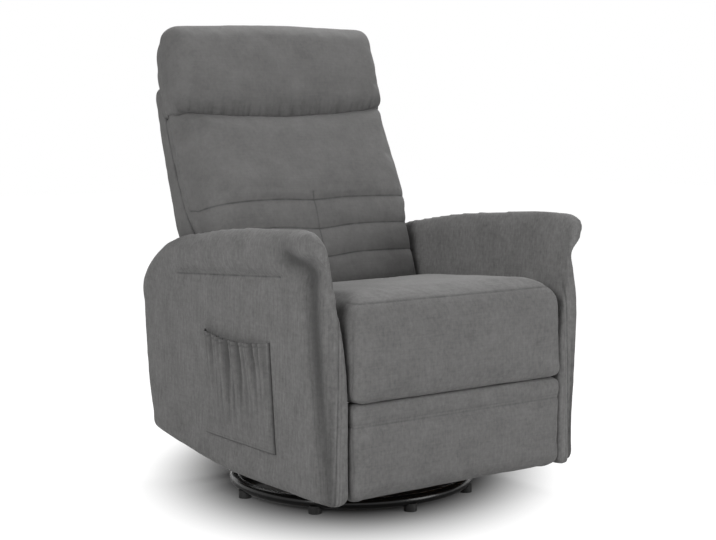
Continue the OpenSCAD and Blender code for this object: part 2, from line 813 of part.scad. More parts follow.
module seat_springs() {
    pitch = 2 * (frame_half - rail_t) / spring_count;
    color("#7d8084") on_axis() for (i = [0:spring_count - 1])
        sinuous_spring(-frame_half + rail_t + pitch * (i + 0.5));
}

// Steel carriers bolted to the seat frame, with an ear for the back hinge
module carrier_outline() {
    low = slot_z - 2 * roller_r;
    difference() {
        union() {
            polygon([
                [roller_y[0] - 3 * roller_r, low], [roller_y[1] + 2 * roller_r, low], [hinge[0] + eye_r, hinge[1] - eye_r],
                [hinge[0] + eye_r, hinge[1]], [hinge[0] - eye_r, hinge[1] + eye_r / 2], [frame_rear, frame_low + rail_h * 0.8],
                [roller_y[0] - 3 * roller_r, frame_low + rail_h * 0.8]
            ]);
            translate(hinge) circle(r = eye_r * 1.25, $fn = round_fn);
        }
        translate(hinge) circle(r = pivot_r + fit, $fn = round_fn);
        for (y = roller_y) translate([y, slot_z]) circle(r = pivot_r * 0.8 + fit, $fn = round_fn);
    }
}

module seat_carriers() {
    color("#2a2a2a") on_axis() both_sides() translate([frame_half, 0, 0])
        rotate([90, 0, 90]) linear_extrude(height = link_t) carrier_outline();
}

module seat_rollers() {
    x = frame_half + link_t;
    color("#e4e2dc") on_axis() both_sides() for (y = roller_y) {
        cross_bar(frame_half, [y, slot_z], pivot_r * 0.8, inner_x - frame_half - over);
        cross_bar(plate_x - over, [y, slot_z], roller_r, plate_t + over / 2);
        cross_bar(x, [y, slot_z], pivot_r * 1.5, plate_x - x - over);
    }
}

module hinge_bolts() {
    x = layer_x(bracket_layer_count);
    color("#9a9ea2") on_axis() both_sides() {
        cross_bar(x - head_t, hinge, head_r, head_t);
        cross_bar(x - head_t / 2, hinge, pivot_r, head_t / 2 + layer_step + link_t + outer_head_t);
        cross_bar(x + layer_step + link_t, hinge, head_r, outer_head_t);
    }
}

// Front plane of the back at a height, for a depth in front of the hinge line
function back_plane_y(z, deep) = hinge_back - deep / cos(back_lean) + (z - hinge_z) * tan(back_lean);

seat_top_steps = 8;
seat_rear_drop = 14;
seat_back_gap = 5;

function seat_ring(s) =
    let (
        e = inset_at(s, seat_edge),
        c = 0.25 + 0.75 * crown_at(s),
        deep = lumbar_deep + lumbar_crown * crown_at(s) + seat_back_gap,
        front = front_y + e * 0.8,
        low = seat_low + e * 0.6,
        top_front = seat_seam + seat_rise * c - e * 0.5,
        top_rear = seat_seam - seat_rear_drop - e,
        rear_low = back_plane_y(low, deep) - e / 2,
        rear_high = back_plane_y(top_rear, deep) - e / 2,
        run = front_y + seat_edge * 2 - rear_high,
        seam = seat_seam - e * 0.9,
        bow = seat_front_crown * (0.4 + 0.6 * crown_at(s)),
        face = seam - seam_half - low
    )
    [for (p = concat(
        [[rear_low, low], [(rear_low + rear_high) / 2, (low + top_rear) / 2], [rear_high - seam_dip, top_rear - 2 * seam_half], [rear_high - seam_half, top_rear]],
        [for (i = [1:seat_top_steps]) let (k = i / seat_top_steps)
            [rear_high + run * k, top_rear + (top_front - top_rear) * k + seat_rise * c * 2.4 * k * (1 - k)]],
        [[front + seat_edge, top_front - seat_rise * c * 0.25], [front + seam_half, seam + seam_half * 1.2],
         [front + seam_dip, seam], [front, seam - seam_half]],
        [for (k = [0.2, 0.45, 0.7, 0.88]) [front - bow * 4 * k * (1 - k), seam - seam_half - face * k]],
        [[front + seam_half, low + seam_half / 2], [front + seat_edge, low]]
    )) [seat_half * s, p[0], p[1]]];

module seat_cushion() {
    color("#6d6e6b") on_axis() difference() {
        loft([for (s = side_stations) seat_ring(s)]);
        translate([-frame_half - link_t - frame_air, frame_front - frame_air, seat_low - over])
            cube([2 * (frame_half + link_t + frame_air), frame_rear - frame_front + 2 * frame_air + arm_t * 3, frame_low + rail_h + frame_air - seat_low + over]);
    }
}

// Back: local frame at the hinge, depth along Y and length along Z

module on_back() {
    on_axis() translate([0, hinge_back, hinge_z]) rotate([-back_lean, 0, 0]) children();
}

module back_frame() {
    half = layer_x(bracket_layer_count);
    post_top = shell_top_t - post_drop;
    rail_places = [rail_t_low, seam_t[1], post_top - 2.75 * rail_h, post_top - rail_h];
    color("#c9a877") on_back() {
        for (side = [-1, 1]) translate([side * (half - post_t / 2) - post_t / 2, post_front, post_low])
            cube([post_t, post_deep, post_top - post_low]);
        for (t = rail_places) translate([post_t - half, post_front, t])
            cube([2 * (half - post_t), rail_t, rail_h]);
    }
}

module back_webbing() {
    half = layer_x(bracket_layer_count);
    color("#2f2f2f") on_back() for (t = [rail_t_low + rail_h * 1.4, seam_t[2] + rail_h * 0.2, seam_t[0] + rail_h * 0.2, seam_t[0] + rail_h * 1.8])
        translate([-half, post_front - webbing_t, t]) cube([2 * half, webbing_t, webbing_w]);
}

module bracket_outline() {
    difference() {
        union() {
            polygon([
                [-eye_r, 0], [post_front, bracket_up * 0.35], [post_front, bracket_up],
                [post_front + post_deep, bracket_up], [post_front + post_deep, bracket_up * 0.25], [eye_r, -eye_r / 2],
                [eye_r * 0.8, -recline_arm], [-eye_r * 0.8, -recline_arm]
            ]);
            translate([0, -recline_arm]) circle(r = eye_r, $fn = round_fn);
            circle(r = eye_r * 1.25, $fn = round_fn);
        }
        circle(r = pivot_r + fit, $fn = round_fn);
        translate([0, -recline_arm]) circle(r = pivot_r + fit, $fn = round_fn);
    }
}

module hinge_brackets() {
    color("#2a2a2a") on_back() both_sides() translate([layer_x(bracket_layer_count), 0, 0])
        rotate([90, 0, 90]) linear_extrude(height = link_t) bracket_outline();
}

module recline_studs() {
    x = layer_x(recline_layer_count);
    color("#9a9ea2") on_axis() both_sides() {
        cross_bar(x + link_t + head_t / 4, recline_stud, pivot_r, layer_gap - head_t / 4 + link_t + head_t);
        cross_bar(x + layer_step + link_t, recline_stud, head_r, head_t);
    }
}

module recline_links() {
    color("#3a3a3a") on_axis() both_sides() flat_link(layer_x(recline_layer_count), recline_pivot, recline_stud, [true, false]);
}

// Depth of the seam between the shell's sides and the cushion, along the back
side_seam_deep = 15;
side_seam_share = 0.075;
function side_seam_n(t) = -side_seam_deep - (shell_top_t - t) * side_seam_share;

function shell_ring(s) =
    let (
        e = inset_at(s, seat_edge),
        deep = shell_deep - e,
        top = shell_top_t - e
    )
    [for (p = [
        [deep - skirt_t, soft_low_t], [deep, soft_low_t + seat_edge], [deep + crown_at(s) * seam_half, shell_top_t * 0.4],
        [deep - shell_deep * 0.08 + crown_at(s) * seam_half / 2, shell_top_t * 0.72], [deep - shell_deep * 0.2, shell_top_t * 0.92],
        [deep - shell_deep * 0.42, top - seam_half / 2], [deep - shell_deep * 0.8, top], [side_seam_n(shell_top_t) + seam_half, top - seam_half / 2],
        [side_seam_n(shell_top_t * 0.96 - e), shell_top_t * 0.96 - e], [side_seam_n(shell_top_t * 0.7), shell_top_t * 0.7],
        [side_seam_n(shell_top_t * 0.4), shell_top_t * 0.4], [side_seam_n(soft_low_t), soft_low_t]
    ]) [back_half * s, p[0], p[1]]];

module back_shell() {
    color("#676865") on_back() difference() {
        union() {
            loft([for (s = side_stations) shell_ring(s)]);
            translate([-skirt_half, shell_deep - 2 * skirt_t, -skirt_drop]) cube([2 * skirt_half, skirt_t, skirt_drop + soft_low_t + skirt_t]);
        }
        translate([-cavity_half, -lumbar_deep, -over])
            cube([2 * cavity_half, lumbar_deep + post_front + post_deep + over, shell_top_t - post_drop + 3 * over]);
    }
}

plug_air = 3;
core_air = 0.5;
core_n = post_front - webbing_t - core_air;
lumbar_stations = let (plug = (cavity_half - plug_air) / back_half)
    mirrored([0, 0.035, 0.3, 0.6, 0.84, plug, plug + 0.002, 0.98, 1]);
// Front of the lumbar cushion along the back, as [share of its length, share of its depth]
lumbar_front_shares = [[0, 0.9], [0.12, 0.99], [0.5, 1], [0.68, 0.985], [0.82, 0.91], [1, 0.8]];
channel_puff = 7;

function lumbar_front(t) = -lumbar_deep * lookup((t - soft_low_t) / (pillow_seam_t - soft_low_t), lumbar_front_shares);

function lumbar_ring(s) =
    let (
        e = inset_at(s, seat_edge),
        plug = abs(s) * back_half < cavity_half - plug_air + fit,
        crown = lumbar_crown * crown_at(s),
        centre = abs(s) < 0.01 ? seam_dip * 1.6 : 0,
        top = pillow_seam_t - over,
        marks = concat([top - seam_half, (top + centre_seam_t) * 0.54, (top + centre_seam_t) * 0.48, seam_t[0] + 2.4 * seam_half],
            [for (i = [0:3]) each [seam_t[i] + seam_half, seam_t[i], seam_t[i] - seam_half,
                (seam_t[i] + (i < 3 ? seam_t[i + 1] : soft_low_t)) / 2]], [soft_low_t + seam_half]),
        at_seam = [for (t = marks) len([for (q = seam_t) if (abs(q - t) < over) 1])],
        puff = [for (i = [0:len(marks) - 1]) let (t = marks[i]) t > centre_seam_t ? 0 : at_seam[i] ? seam_dip : -channel_puff *
            (len([for (q = seam_t) if (abs(q - t) < seam_half * 1.2) 1]) ? 0.3 : 1)]
    )
    [for (p = concat(
        [[plug ? core_n : side_seam_n(soft_low_t) - fit, soft_low_t], [plug ? core_n : side_seam_n(seam_t[2]) - fit, seam_t[2]],
         [plug ? core_n : side_seam_n(seam_t[0]) - fit, seam_t[0]], [plug ? core_n : side_seam_n(top - e * 0.3) - fit, top - e * 0.3]],
        [[(lumbar_front(top) - crown) * 0.6, top - e * 0.3]],
        [for (i = [0:len(marks) - 1]) let (t = marks[i])
            [lumbar_front(t) - crown * (0.75 + 0.25 * (t < centre_seam_t ? 1 : 0)) + puff[i] * (1 - 0.6 * pow(abs(s), 4)) + (t < centre_seam_t ? centre : 0) + e * 0.9, t]]
    )) [back_half * s, p[0], p[1]]];

module lumbar_cushion() {
    color("#6d6e6b") on_back() loft([for (s = lumbar_stations) lumbar_ring(s)]);
}

seam_gap = 0.3;
pillow_deep = 122;
pillow_crown = 14;

function pillow_ring(s) =
    let (
        e = inset_at(s, seat_edge * 1.2),
        c = crown_at(s),
        low = pillow_seam_t,
        high = back_top_t - e - (1 - c) * pillow_crown,
        h = high - low,
        front = -pillow_deep - pillow_crown * c + e * 0.8,
        rear = side_seam_n(shell_top_t) - seam_gap
    )
    [for (p = [
        [side_seam_n(low) - seam_gap, low], [rear - seat_edge * side_seam_share, shell_top_t - seat_edge],
        [rear - seam_dip, low + h * 0.62 - e * 0.2], [rear - pillow_deep * 0.06 - e * 0.3, low + h * 0.8],
        [rear - pillow_deep * 0.18 - e * 0.3, low + h * 0.93], [rear - pillow_deep * 0.36, high], [rear - pillow_deep * 0.6, high + seam_dip * c],
        [front + pillow_deep * 0.12, high - h * 0.035], [front + pillow_deep * 0.03, high - h * 0.11], [front, high - h * 0.27],
        [front - seam_dip, low + h * 0.5], [front, low + h * 0.28], [front + pillow_deep * 0.03, low + h * 0.12],
        [front + pillow_deep * 0.12, low + seam_half], [front + pillow_deep * 0.2, low]
    ]) [back_half * s, p[0], p[1]]];

module head_pillow() {
    color("#6d6e6b") on_back() loft([for (s = side_stations) pillow_ring(s)]);
}

// Footrest

board_rear = front_y + pad_t + board_t;
board_inset = 6;
board_half = seat_half - board_inset;
bracket_foot_w = 30;
bracket_layer_x = layer_x(rear_layer_count);

module rear_footrest_links() {
    color("#3a3a3a") on_axis() both_sides() difference() {
        union() {
            flat_link(layer_x(rear_layer_count), pivot_a, knee);
            cross_bar(layer_x(rear_layer_count), front_control_pivot, eye_r, link_t);
        }
        cross_bar(layer_x(rear_layer_count) - over, front_control_pivot, pivot_r + fit, link_t + 2 * over);
        cross_bar(layer_x(rear_layer_count) - over, knee, pivot_r + fit, link_t + 2 * over);
    }
}

// Rivets at the knee and at the front control pivot, fixed in the rear links
module knee_rivets() {
    x = layer_x(rear_layer_count);
    color("#9a9ea2") on_axis() both_sides() {
        cross_bar(x + link_t, knee, head_r, outer_head_t / 2);
        cross_bar(layer_x(front_layer_count), knee, pivot_r, layer_step + link_t + outer_head_t / 4);
        cross_bar(layer_x(front_layer_count) - head_t, knee, head_r, head_t);
        cross_bar(x + link_t, front_control_pivot, head_r, outer_head_t / 2);
        cross_bar(layer_x(control_layer_count), front_control_pivot, pivot_r, 2 * layer_step + link_t + outer_head_t / 4);
        cross_bar(layer_x(control_layer_count) - head_t, front_control_pivot, head_r, head_t);
    }
}

module rear_control_links() {
    color("#3a3a3a") on_axis() both_sides() flat_link(layer_x(rear_control_layer_count), rear_control_pivot, rear_control_end, [true, false]);
}

module front_footrest_links() {
    color("#3a3a3a") on_axis() both_sides() flat_link(layer_x(front_layer_count), knee, board_pivot);
}

module front_control_links() {
    color("#3a3a3a") on_axis() both_sides() flat_link(layer_x(control_layer_count), front_control_pivot, upper_board_pivot, [true, false]);
}

// Angle bracket on the back of the footrest board
module footrest_brackets() {
    low = board_pivot[1] - 2 * eye_r;
    high = upper_board_pivot[1] + 1.5 * eye_r;
    color("#2a2a2a") on_axis() both_sides() {
        difference() {
            union() {
                translate([bracket_layer_x, board_rear, low]) cube([link_t, plate_t * 2, high - low]);
                for (p = [board_pivot, upper_board_pivot]) {
                    translate([bracket_layer_x, board_rear, p[1] - eye_r * 0.8]) cube([link_t, p[0] - board_rear, eye_r * 1.6]);
                    cross_bar(bracket_layer_x, p, eye_r, link_t);
                }
            }
            for (p = [board_pivot, upper_board_pivot]) cross_bar(bracket_layer_x - over, p, pivot_r + fit, link_t + 2 * over);
        }
        translate([bracket_layer_x - bracket_foot_w, board_rear, low])
            cube([bracket_foot_w, plate_t, upper_board_pivot[1] - 2 * eye_r - low]);
    }
}

module board_rivets() {
    x = bracket_layer_x;
    color("#9a9ea2") on_axis() both_sides() {
        cross_bar(x + link_t, board_pivot, head_r, outer_head_t / 2);
        cross_bar(layer_x(front_layer_count), board_pivot, pivot_r, layer_step + link_t + outer_head_t / 4);
        cross_bar(layer_x(front_layer_count) - head_t, board_pivot, head_r, head_t);
        cross_bar(x + link_t, upper_board_pivot, head_r, outer_head_t / 2);
        cross_bar(layer_x(control_layer_count) + link_t + head_t / 4, upper_board_pivot, pivot_r, layer_step + layer_gap + link_t);
    }
}

module footrest_board() {
    margin = board_t;
    color("#c9a877") on_axis() translate([-board_half, board_rear - board_t, pad_low + margin])
        cube([2 * board_half, board_t, pad_high - pad_low - 2 * margin]);
}

pad_edge = 16;
pad_crown = 9;

function pad_ring(s) =
    let (
        e = inset_at(s, pad_edge),
        bow = pad_crown * (0.4 + 0.6 * crown_at(s)),
        front = front_y + e * 0.9,
        low = pad_low + e,
        high = pad_high - e,
        rear = board_rear - board_t
    )
    [for (p = [
        [rear, low + seam_half], [rear, high - seam_half], [rear - seam_half, high], [front + pad_edge * 0.8, high],
        [front + pad_edge * 0.25, high - pad_edge * 0.35], [front - bow * 0.3, high - pad_edge], [front - bow * 0.5, pad_seam + seam_half],
        [front + seam_dip - bow * 0.5, pad_seam], [front - bow * 0.7, pad_seam - seam_half], [front - bow, pad_low + (pad_seam - pad_low) * 0.66],
        [front - bow, pad_low + (pad_seam - pad_low) * 0.33], [front - bow * 0.4, low + pad_edge], [front + pad_edge * 0.25, low + pad_edge * 0.35],
        [front + pad_edge * 0.8, low], [rear - seam_half, low]
    ]) [seat_half * s, p[0], p[1]]];

module footrest_pad() {
    color("#6d6e6b") on_axis() loft([for (s = side_stations) pad_ring(s)]);
}

ring_tube();
cross_arms();
floor_glides();
lower_race();
race_balls();
centre_bolt();
centre_nut();
upper_race();
carriage_beams();
carriage_uprights();
upper_glide_pins();
front_glide_links();
rear_glide_links();
side_plates();
lower_glide_pins();
cross_tubes();
left_arm_frame();
right_arm_frame();
left_arm_cover();
right_arm_cover();
side_pocket();
rear_rail();
arm_bolts();
footrest_pivot_studs();
recline_pivot_studs();
release_cable();
tab_guide();
release_tab();
seat_frame();
seat_springs();
seat_carriers();
seat_rollers();
seat_cushion();
hinge_bolts();
back_frame();
back_webbing();
hinge_brackets();
back_shell();
lumbar_cushion();
head_pillow();
recline_studs();
recline_links();
rear_footrest_links();
knee_rivets();
rear_control_links();
front_footrest_links();
front_control_links();
footrest_brackets();
footrest_board();
footrest_pad();
board_rivets();
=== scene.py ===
# %% [markdown]
# # A swivel glider recliner, dressed over its working frame
#
# The steel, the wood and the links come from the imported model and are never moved. This file adds
# what an upholsterer adds: foam, suede-like cloth, seams and a gathered pocket.
# Every length is in metres, X is across the chair, Y runs to the back and Z is up.

# %% Load the frame
import math
import bpy
import numpy as np
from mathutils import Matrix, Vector
from mathutils.bvhtree import BVHTree


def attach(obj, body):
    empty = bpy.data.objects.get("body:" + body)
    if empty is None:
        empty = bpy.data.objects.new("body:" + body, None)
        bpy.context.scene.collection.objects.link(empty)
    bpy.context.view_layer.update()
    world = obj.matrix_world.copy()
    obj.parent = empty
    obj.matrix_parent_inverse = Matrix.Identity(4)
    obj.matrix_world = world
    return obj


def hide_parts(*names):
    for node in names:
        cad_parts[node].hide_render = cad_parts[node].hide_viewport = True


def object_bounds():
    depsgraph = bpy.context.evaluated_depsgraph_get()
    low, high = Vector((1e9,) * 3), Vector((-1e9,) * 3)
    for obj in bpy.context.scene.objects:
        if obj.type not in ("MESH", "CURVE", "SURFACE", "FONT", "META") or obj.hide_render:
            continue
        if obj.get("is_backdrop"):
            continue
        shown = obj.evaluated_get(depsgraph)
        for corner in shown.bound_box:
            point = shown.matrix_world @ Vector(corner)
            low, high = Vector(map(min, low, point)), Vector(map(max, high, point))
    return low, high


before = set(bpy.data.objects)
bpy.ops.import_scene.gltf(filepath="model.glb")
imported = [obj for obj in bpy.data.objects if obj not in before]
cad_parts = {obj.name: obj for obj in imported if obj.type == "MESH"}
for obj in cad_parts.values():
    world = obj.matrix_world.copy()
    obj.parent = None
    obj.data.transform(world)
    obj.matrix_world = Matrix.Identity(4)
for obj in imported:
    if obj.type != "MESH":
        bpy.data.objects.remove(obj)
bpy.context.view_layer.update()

MM = 0.001
SWIVEL_Y = -10 * MM
scene = bpy.context.scene

# %% [markdown]
# ## The camera
#
# The chair was seen from a little above its arms, turned so that its left side shows. A long lens
# keeps the upright edges nearly upright. The place of the camera is given from the swivel axis.

# %% Camera
CAMERA_PLACE = Vector((-2033.0, -2794.5, 884.9)) * MM
CAMERA_TURN = math.radians(-36.29)
CAMERA_DIP = math.radians(6.1)
SENSOR = 36.0
FOCAL_SHARE = 1466.2 / 716

camera_data = bpy.data.cameras.new("camera")
camera_data.sensor_width = SENSOR
camera_data.lens = SENSOR * FOCAL_SHARE
camera_data.clip_end = 30
camera = bpy.data.objects.new("camera", camera_data)
camera.location = CAMERA_PLACE + Vector((0, SWIVEL_Y, 0))
camera.rotation_euler = (math.pi / 2 - CAMERA_DIP, 0, CAMERA_TURN)
scene.collection.objects.link(camera)
scene.camera = camera
print("lens", round(camera_data.lens, 1), "mm")

# %% [markdown]
# ## Writing finishes as sums
#
# A shader is a net of nodes, and most of it is arithmetic. Wrapping a socket in a small class lets
# that arithmetic be written as it is on paper, and one method adds every other kind of node.

# %% Sockets that can be added and multiplied
class Wire:
    def __init__(self, recipe, socket):
        self.recipe = recipe
        self.socket = socket

    def maths(self, operation, left, right):
        return self.recipe.node("ShaderNodeMath", {"operation": operation}, {0: left, 1: right})

    def __add__(self, other):
        return self.maths("ADD", self, other)

    def __mul__(self, other):
        return self.maths("MULTIPLY", self, other)


class Recipe:
    """A material that is filled node by node."""

    def __init__(self, name):
        self.material = bpy.data.materials.new(name)
        self.material.use_nodes = True
        self.tree = self.material.node_tree
        self.tree.nodes.clear()

    def node(self, kind, settings=None, inputs=None, output=0):
        made = self.tree.nodes.new(kind)
        for key, value in (settings or {}).items():
            setattr(made, key, value)
        for key, value in (inputs or {}).items():
            if isinstance(value, Wire):
                self.tree.links.new(value.socket, made.inputs[key])
            else:
                made.inputs[key].default_value = value
        return Wire(self, made.outputs[output])

    def place(self, scale=(1, 1, 1), turn=(0, 0, 0)):
        spot = self.node("ShaderNodeTexCoord", output="Object")
        return self.node("ShaderNodeMapping", {}, {"Vector": spot, "Scale": scale, "Rotation": turn})

    def noise(self, size, detail=2.0, stretch=(1, 1, 1), rough=0.5):
        settings = {"noise_dimensions": "3D"}
        inputs = {"Vector": self.place(stretch), "Scale": 1 / size, "Detail": detail, "Roughness": rough}
        return self.node("ShaderNodeTexNoise", settings, inputs, "Fac")

    def blend(self, share, low, high):
        return self.node("ShaderNodeMix", {"data_type": "RGBA"}, {0: share, 6: low, 7: high}, 2)

    def bump(self, height, strength, depth, under=None):
        inputs = {"Height": height, "Strength": strength, "Distance": depth}
        if under:
            inputs["Normal"] = under
        return self.node("ShaderNodeBump", {}, inputs, "Normal")

    def finish(self, **sockets):
        inputs = {key.replace("_", " "): value for key, value in sockets.items()}
        self.output(self.node("ShaderNodeBsdfPrincipled", {}, inputs))
        return self.material

    def output(self, shader):
        end = self.tree.nodes.new("ShaderNodeOutputMaterial")
        self.tree.links.new(shader.socket, end.inputs["Surface"])


def grey(value, warm=0.0):
    return (value * (1 + warm), value, value * (1 - warm), 1.0)


print("recipes ready")

# %% [markdown]
# ## The cloth
#
# The cover is a brushed suede-like cloth, grey and almost without shine. Layers of noise give it
# life: broad clouds where hands have turned the nap, the nap itself, and two sets of fine threads
# that cross. The back is brushed smoother than the seat and the sides, so each gets its own mix. The
# cloth of the arms and the pocket is also painted lighter than the rest, which stands in for light on
# those sides. A point value called "seam" is stored where a piece is sewn and darkens it there; the
# same value carries painted shade in puckers, valleys, dimples, furrows and under bulges.

# %% Suede-like cloth
SUEDE = 0.165
# The cloth of the arms and the pocket is painted lighter than the rest, standing in for light on those
# sides
SIDE_SUEDE_PAINTED_LIGHTER = 0.184
# How far the "seam" value blends the cloth towards a dark tone: it draws the seam lines and the painted
# shade
SEAM_AND_SHADE_SHARE, SEAM_AND_SHADE_TONE = 0.72, 0.16
WARM = 0.012
THREAD = 3.4 * MM
# A small scale along one axis draws the noise out into threads along it
ALONG_X, ALONG_Y, ALONG_Z = (0.07, 1, 1), (1, 0.07, 1), (1, 1, 0.07)


def suede(name, contrast, fine, upright_share, level_share, thread=ALONG_X, tone=SUEDE):
    recipe = Recipe(name)
    seam = recipe.node("ShaderNodeAttribute", {"attribute_name": "seam"}, output="Fac")
    cloud = recipe.noise(60 * MM, 4.0, rough=0.6)
    nap = recipe.noise(8 * MM, 3.0, (1, 1, 0.8), 0.65)
    upright = recipe.noise(THREAD, 2.0, ALONG_Z)
    level = recipe.noise(THREAD, 2.0, thread)
    cloud_share = 1 - fine - upright_share - level_share
    share = cloud * cloud_share + nap * fine + upright * upright_share + level * level_share
    dark, light = grey(tone * (1 - contrast), WARM), grey(tone * (1 + contrast), WARM)
    colour = recipe.blend(share, dark, light)
    # Seam lines and painted shade, both carried by the "seam" value
    colour = recipe.blend(seam * SEAM_AND_SHADE_SHARE, colour, grey(SUEDE * SEAM_AND_SHADE_TONE))
    relief = recipe.bump(nap, 0.3, 0.7 * MM)
    relief = recipe.bump(upright + level, 0.4, 0.4 * MM, relief)
    return recipe.finish(Base_Color=colour, Roughness=0.92, Sheen_Weight=0.12, Sheen_Roughness=0.45,
                         Specular_IOR_Level=0.2, Normal=relief)


SIDE_CLOTH = suede("suede_grey_sides_painted_lighter", 0.94, 0.36, 0.28, 0.1, ALONG_Y, SIDE_SUEDE_PAINTED_LIGHTER)
SEAT_CLOTH = suede("suede_grey_seat", 0.8, 0.4, 0.17, 0.16)
BACK_CLOTH = suede("suede_grey_back", 0.55, 0.3, 0.08, 0.14)
print("cloth tone", SUEDE)

# %% [markdown]
# ## Metal, wood, webbing and plastic
#
# What the cloth leaves bare still gets the finish of its trade: the ring is gloss black powder coat,
# the mechanism is dull black paint, the bolts are zinc plated, the frames are plywood with a streaked
# grain, and the webbing is woven.

# %% Finishes of the working parts
def painted(name, tone, rough, coat=0.0, shine=0.5):
    recipe = Recipe(name)
    cloud = recipe.noise(60 * MM, 3.0)
    grain = recipe.noise(1.6 * MM, 2.0)
    colour = recipe.blend(cloud * 0.7 + grain * 0.3, grey(tone * 0.7), grey(tone * 1.5, 0.02))
    return recipe.finish(Base_Color=colour, Roughness=cloud * 0.2 + (rough - 0.1), Coat_Weight=coat,
                         Coat_Roughness=0.12, Specular_IOR_Level=shine,
                         Normal=recipe.bump(grain, 0.25, 0.12 * MM))


def plated(name, tone, rough, warm=0.0):
    recipe = Recipe(name)
    brushed = recipe.noise(9 * MM, 3.0, (1, 6, 6))
    cloud = recipe.noise(22 * MM, 3.0)
    colour = recipe.blend(cloud, grey(tone * 0.72, warm), grey(tone * 1.1, warm))
    return recipe.finish(Base_Color=colour, Metallic=1.0, Roughness=brushed * 0.24 + (rough - 0.12),
                         Normal=recipe.bump(brushed, 0.2, 0.1 * MM))


def plywood(name, streak):
    recipe = Recipe(name)
    grain = recipe.noise(30 * MM, 5.0, streak, 0.62)
    pores = recipe.noise(3 * MM, 3.0, streak)
    colour = recipe.blend(grain * 0.75 + pores * 0.25, (0.36, 0.21, 0.1, 1), (0.66, 0.46, 0.27, 1))
    return recipe.finish(Base_Color=colour, Roughness=grain * 0.15 + 0.55,
                         Normal=recipe.bump(pores, 0.35, 0.3 * MM))


def woven(name, tone):
    recipe = Recipe(name)

    def bands(axis, scale):
        wave = {"wave_type": "BANDS", "bands_direction": axis, "wave_profile": "SIN"}
        inputs = {"Vector": recipe.place(), "Scale": scale, "Distortion": 0.6}
        return recipe.node("ShaderNodeTexWave", wave, inputs, "Fac")

    weave = bands("X", 90.0) * bands("Z", 70.0) + recipe.noise(6 * MM) * 0.4
    colour = recipe.blend(weave, grey(tone * 0.5), grey(tone * 1.6))
    return recipe.finish(Base_Color=colour, Roughness=0.85, Normal=recipe.bump(weave, 0.6, 0.6 * MM))


def moulded(name, tone, rough, warm=0.0):
    recipe = Recipe(name)
    cloud = recipe.noise(18 * MM, 3.0)
    pitted = recipe.noise(0.9 * MM, 2.0)
    colour = recipe.blend(cloud, grey(tone * 0.85, warm), grey(tone * 1.12, warm))
    return recipe.finish(Base_Color=colour, Roughness=cloud * 0.14 + (rough - 0.07),
                         Normal=recipe.bump(pitted, 0.25, 0.15 * MM))


GLOSS_BLACK = painted("gloss_black_coat", 0.004, 0.24, 0.2, 0.22)
DULL_BLACK = painted("dull_black_paint", 0.014, 0.5)
LINK_STEEL = painted("link_steel", 0.03, 0.4)
ZINC = plated("zinc_plate", 0.55, 0.36)
BALL_STEEL = plated("ball_steel", 0.7, 0.2)
SPRING_STEEL = plated("spring_steel", 0.32, 0.4, 0.02)
PLY_DEPTH = plywood("plywood_along_depth", (5, 0.6, 5))
PLY_WIDTH = plywood("plywood_along_width", (0.6, 5, 5))
WEBBING = woven("back_webbing_weave", 0.03)
BLACK_PLASTIC = moulded("black_plastic", 0.012, 0.45)
NYLON = moulded("white_nylon", 0.62, 0.42, 0.02)

finishes = {
    GLOSS_BLACK: ["ring_tube"],
    DULL_BLACK: ["cross_arms", "lower_race", "upper_race", "carriage_beams", "carriage_uprights",
                 "side_plates", "cross_tubes", "seat_carriers", "hinge_brackets", "footrest_brackets"],
    LINK_STEEL: ["front_glide_links", "rear_glide_links", "recline_links", "rear_footrest_links",
                 "rear_control_links", "front_footrest_links", "front_control_links"],
    ZINC: ["centre_bolt", "centre_nut", "upper_glide_pins", "lower_glide_pins", "arm_bolts",
           "footrest_pivot_studs", "recline_pivot_studs", "hinge_bolts", "recline_studs", "knee_rivets",
           "board_rivets"],
    BALL_STEEL: ["race_balls"],
    SPRING_STEEL: ["seat_springs"],
    PLY_DEPTH: ["left_arm_frame", "right_arm_frame"],
    PLY_WIDTH: ["rear_rail", "seat_frame", "back_frame", "footrest_board"],
    WEBBING: ["back_webbing"],
    BLACK_PLASTIC: ["floor_glides", "release_cable", "tab_guide", "release_tab"],
    NYLON: ["seat_rollers"],
}
dressed = 0
for finish, nodes in finishes.items():
    for node in nodes:
        shell = bpy.data.objects[node]
        shell.data.materials.clear()
        shell.data.materials.append(finish)
        dressed += 1
print("working parts finished:", dressed)

# %% [markdown]
# ## How the upholstery is made
#
# A cushion is foam in a sewn cover. Each one starts here as a form a little smaller than the real
# one, rolled up from a grid so that its outline can follow the chair. It is then remeshed evenly,
# held along its seams and blown up as cloth, which gives the crown and the small pulls that no
# drawn curve has. The seams are drawn in last, because an even mesh can't hold a line so thin.

# %% Tools for meshes, in millimetres
def alone(*pieces):
    bpy.ops.object.select_all(action="DESELECT")
    for piece in pieces:
        piece.select_set(True)
        bpy.context.view_layer.objects.active = piece


def places(piece):
    flat = np.empty(len(piece.data.vertices) * 3, dtype=np.float32)
    piece.data.vertices.foreach_get("co", flat)
    return flat.reshape(-1, 3).astype(float) / MM


def put(piece, spots):
    piece.data.vertices.foreach_set("co", (spots * MM).astype(np.float32).ravel())
    piece.data.update()


def outward(piece):
    flat = np.empty(len(piece.data.vertices) * 3, dtype=np.float32)
    piece.data.vertex_normals.foreach_get("vector", flat)
    return flat.reshape(-1, 3).astype(float)


def finish_modifier(piece, kind, **settings):
    alone(piece)
    bpy.ops.object.modifier_add(type=kind)
    modifier = piece.modifiers[-1]
    for key, value in settings.items():
        setattr(modifier, key, value)
    bpy.ops.object.modifier_apply(modifier=modifier.name)


def in_edit(piece):
    alone(piece)
    bpy.ops.object.mode_set(mode="EDIT")
    bpy.ops.mesh.select_mode(type="VERT")
    bpy.ops.mesh.select_all(action="SELECT")


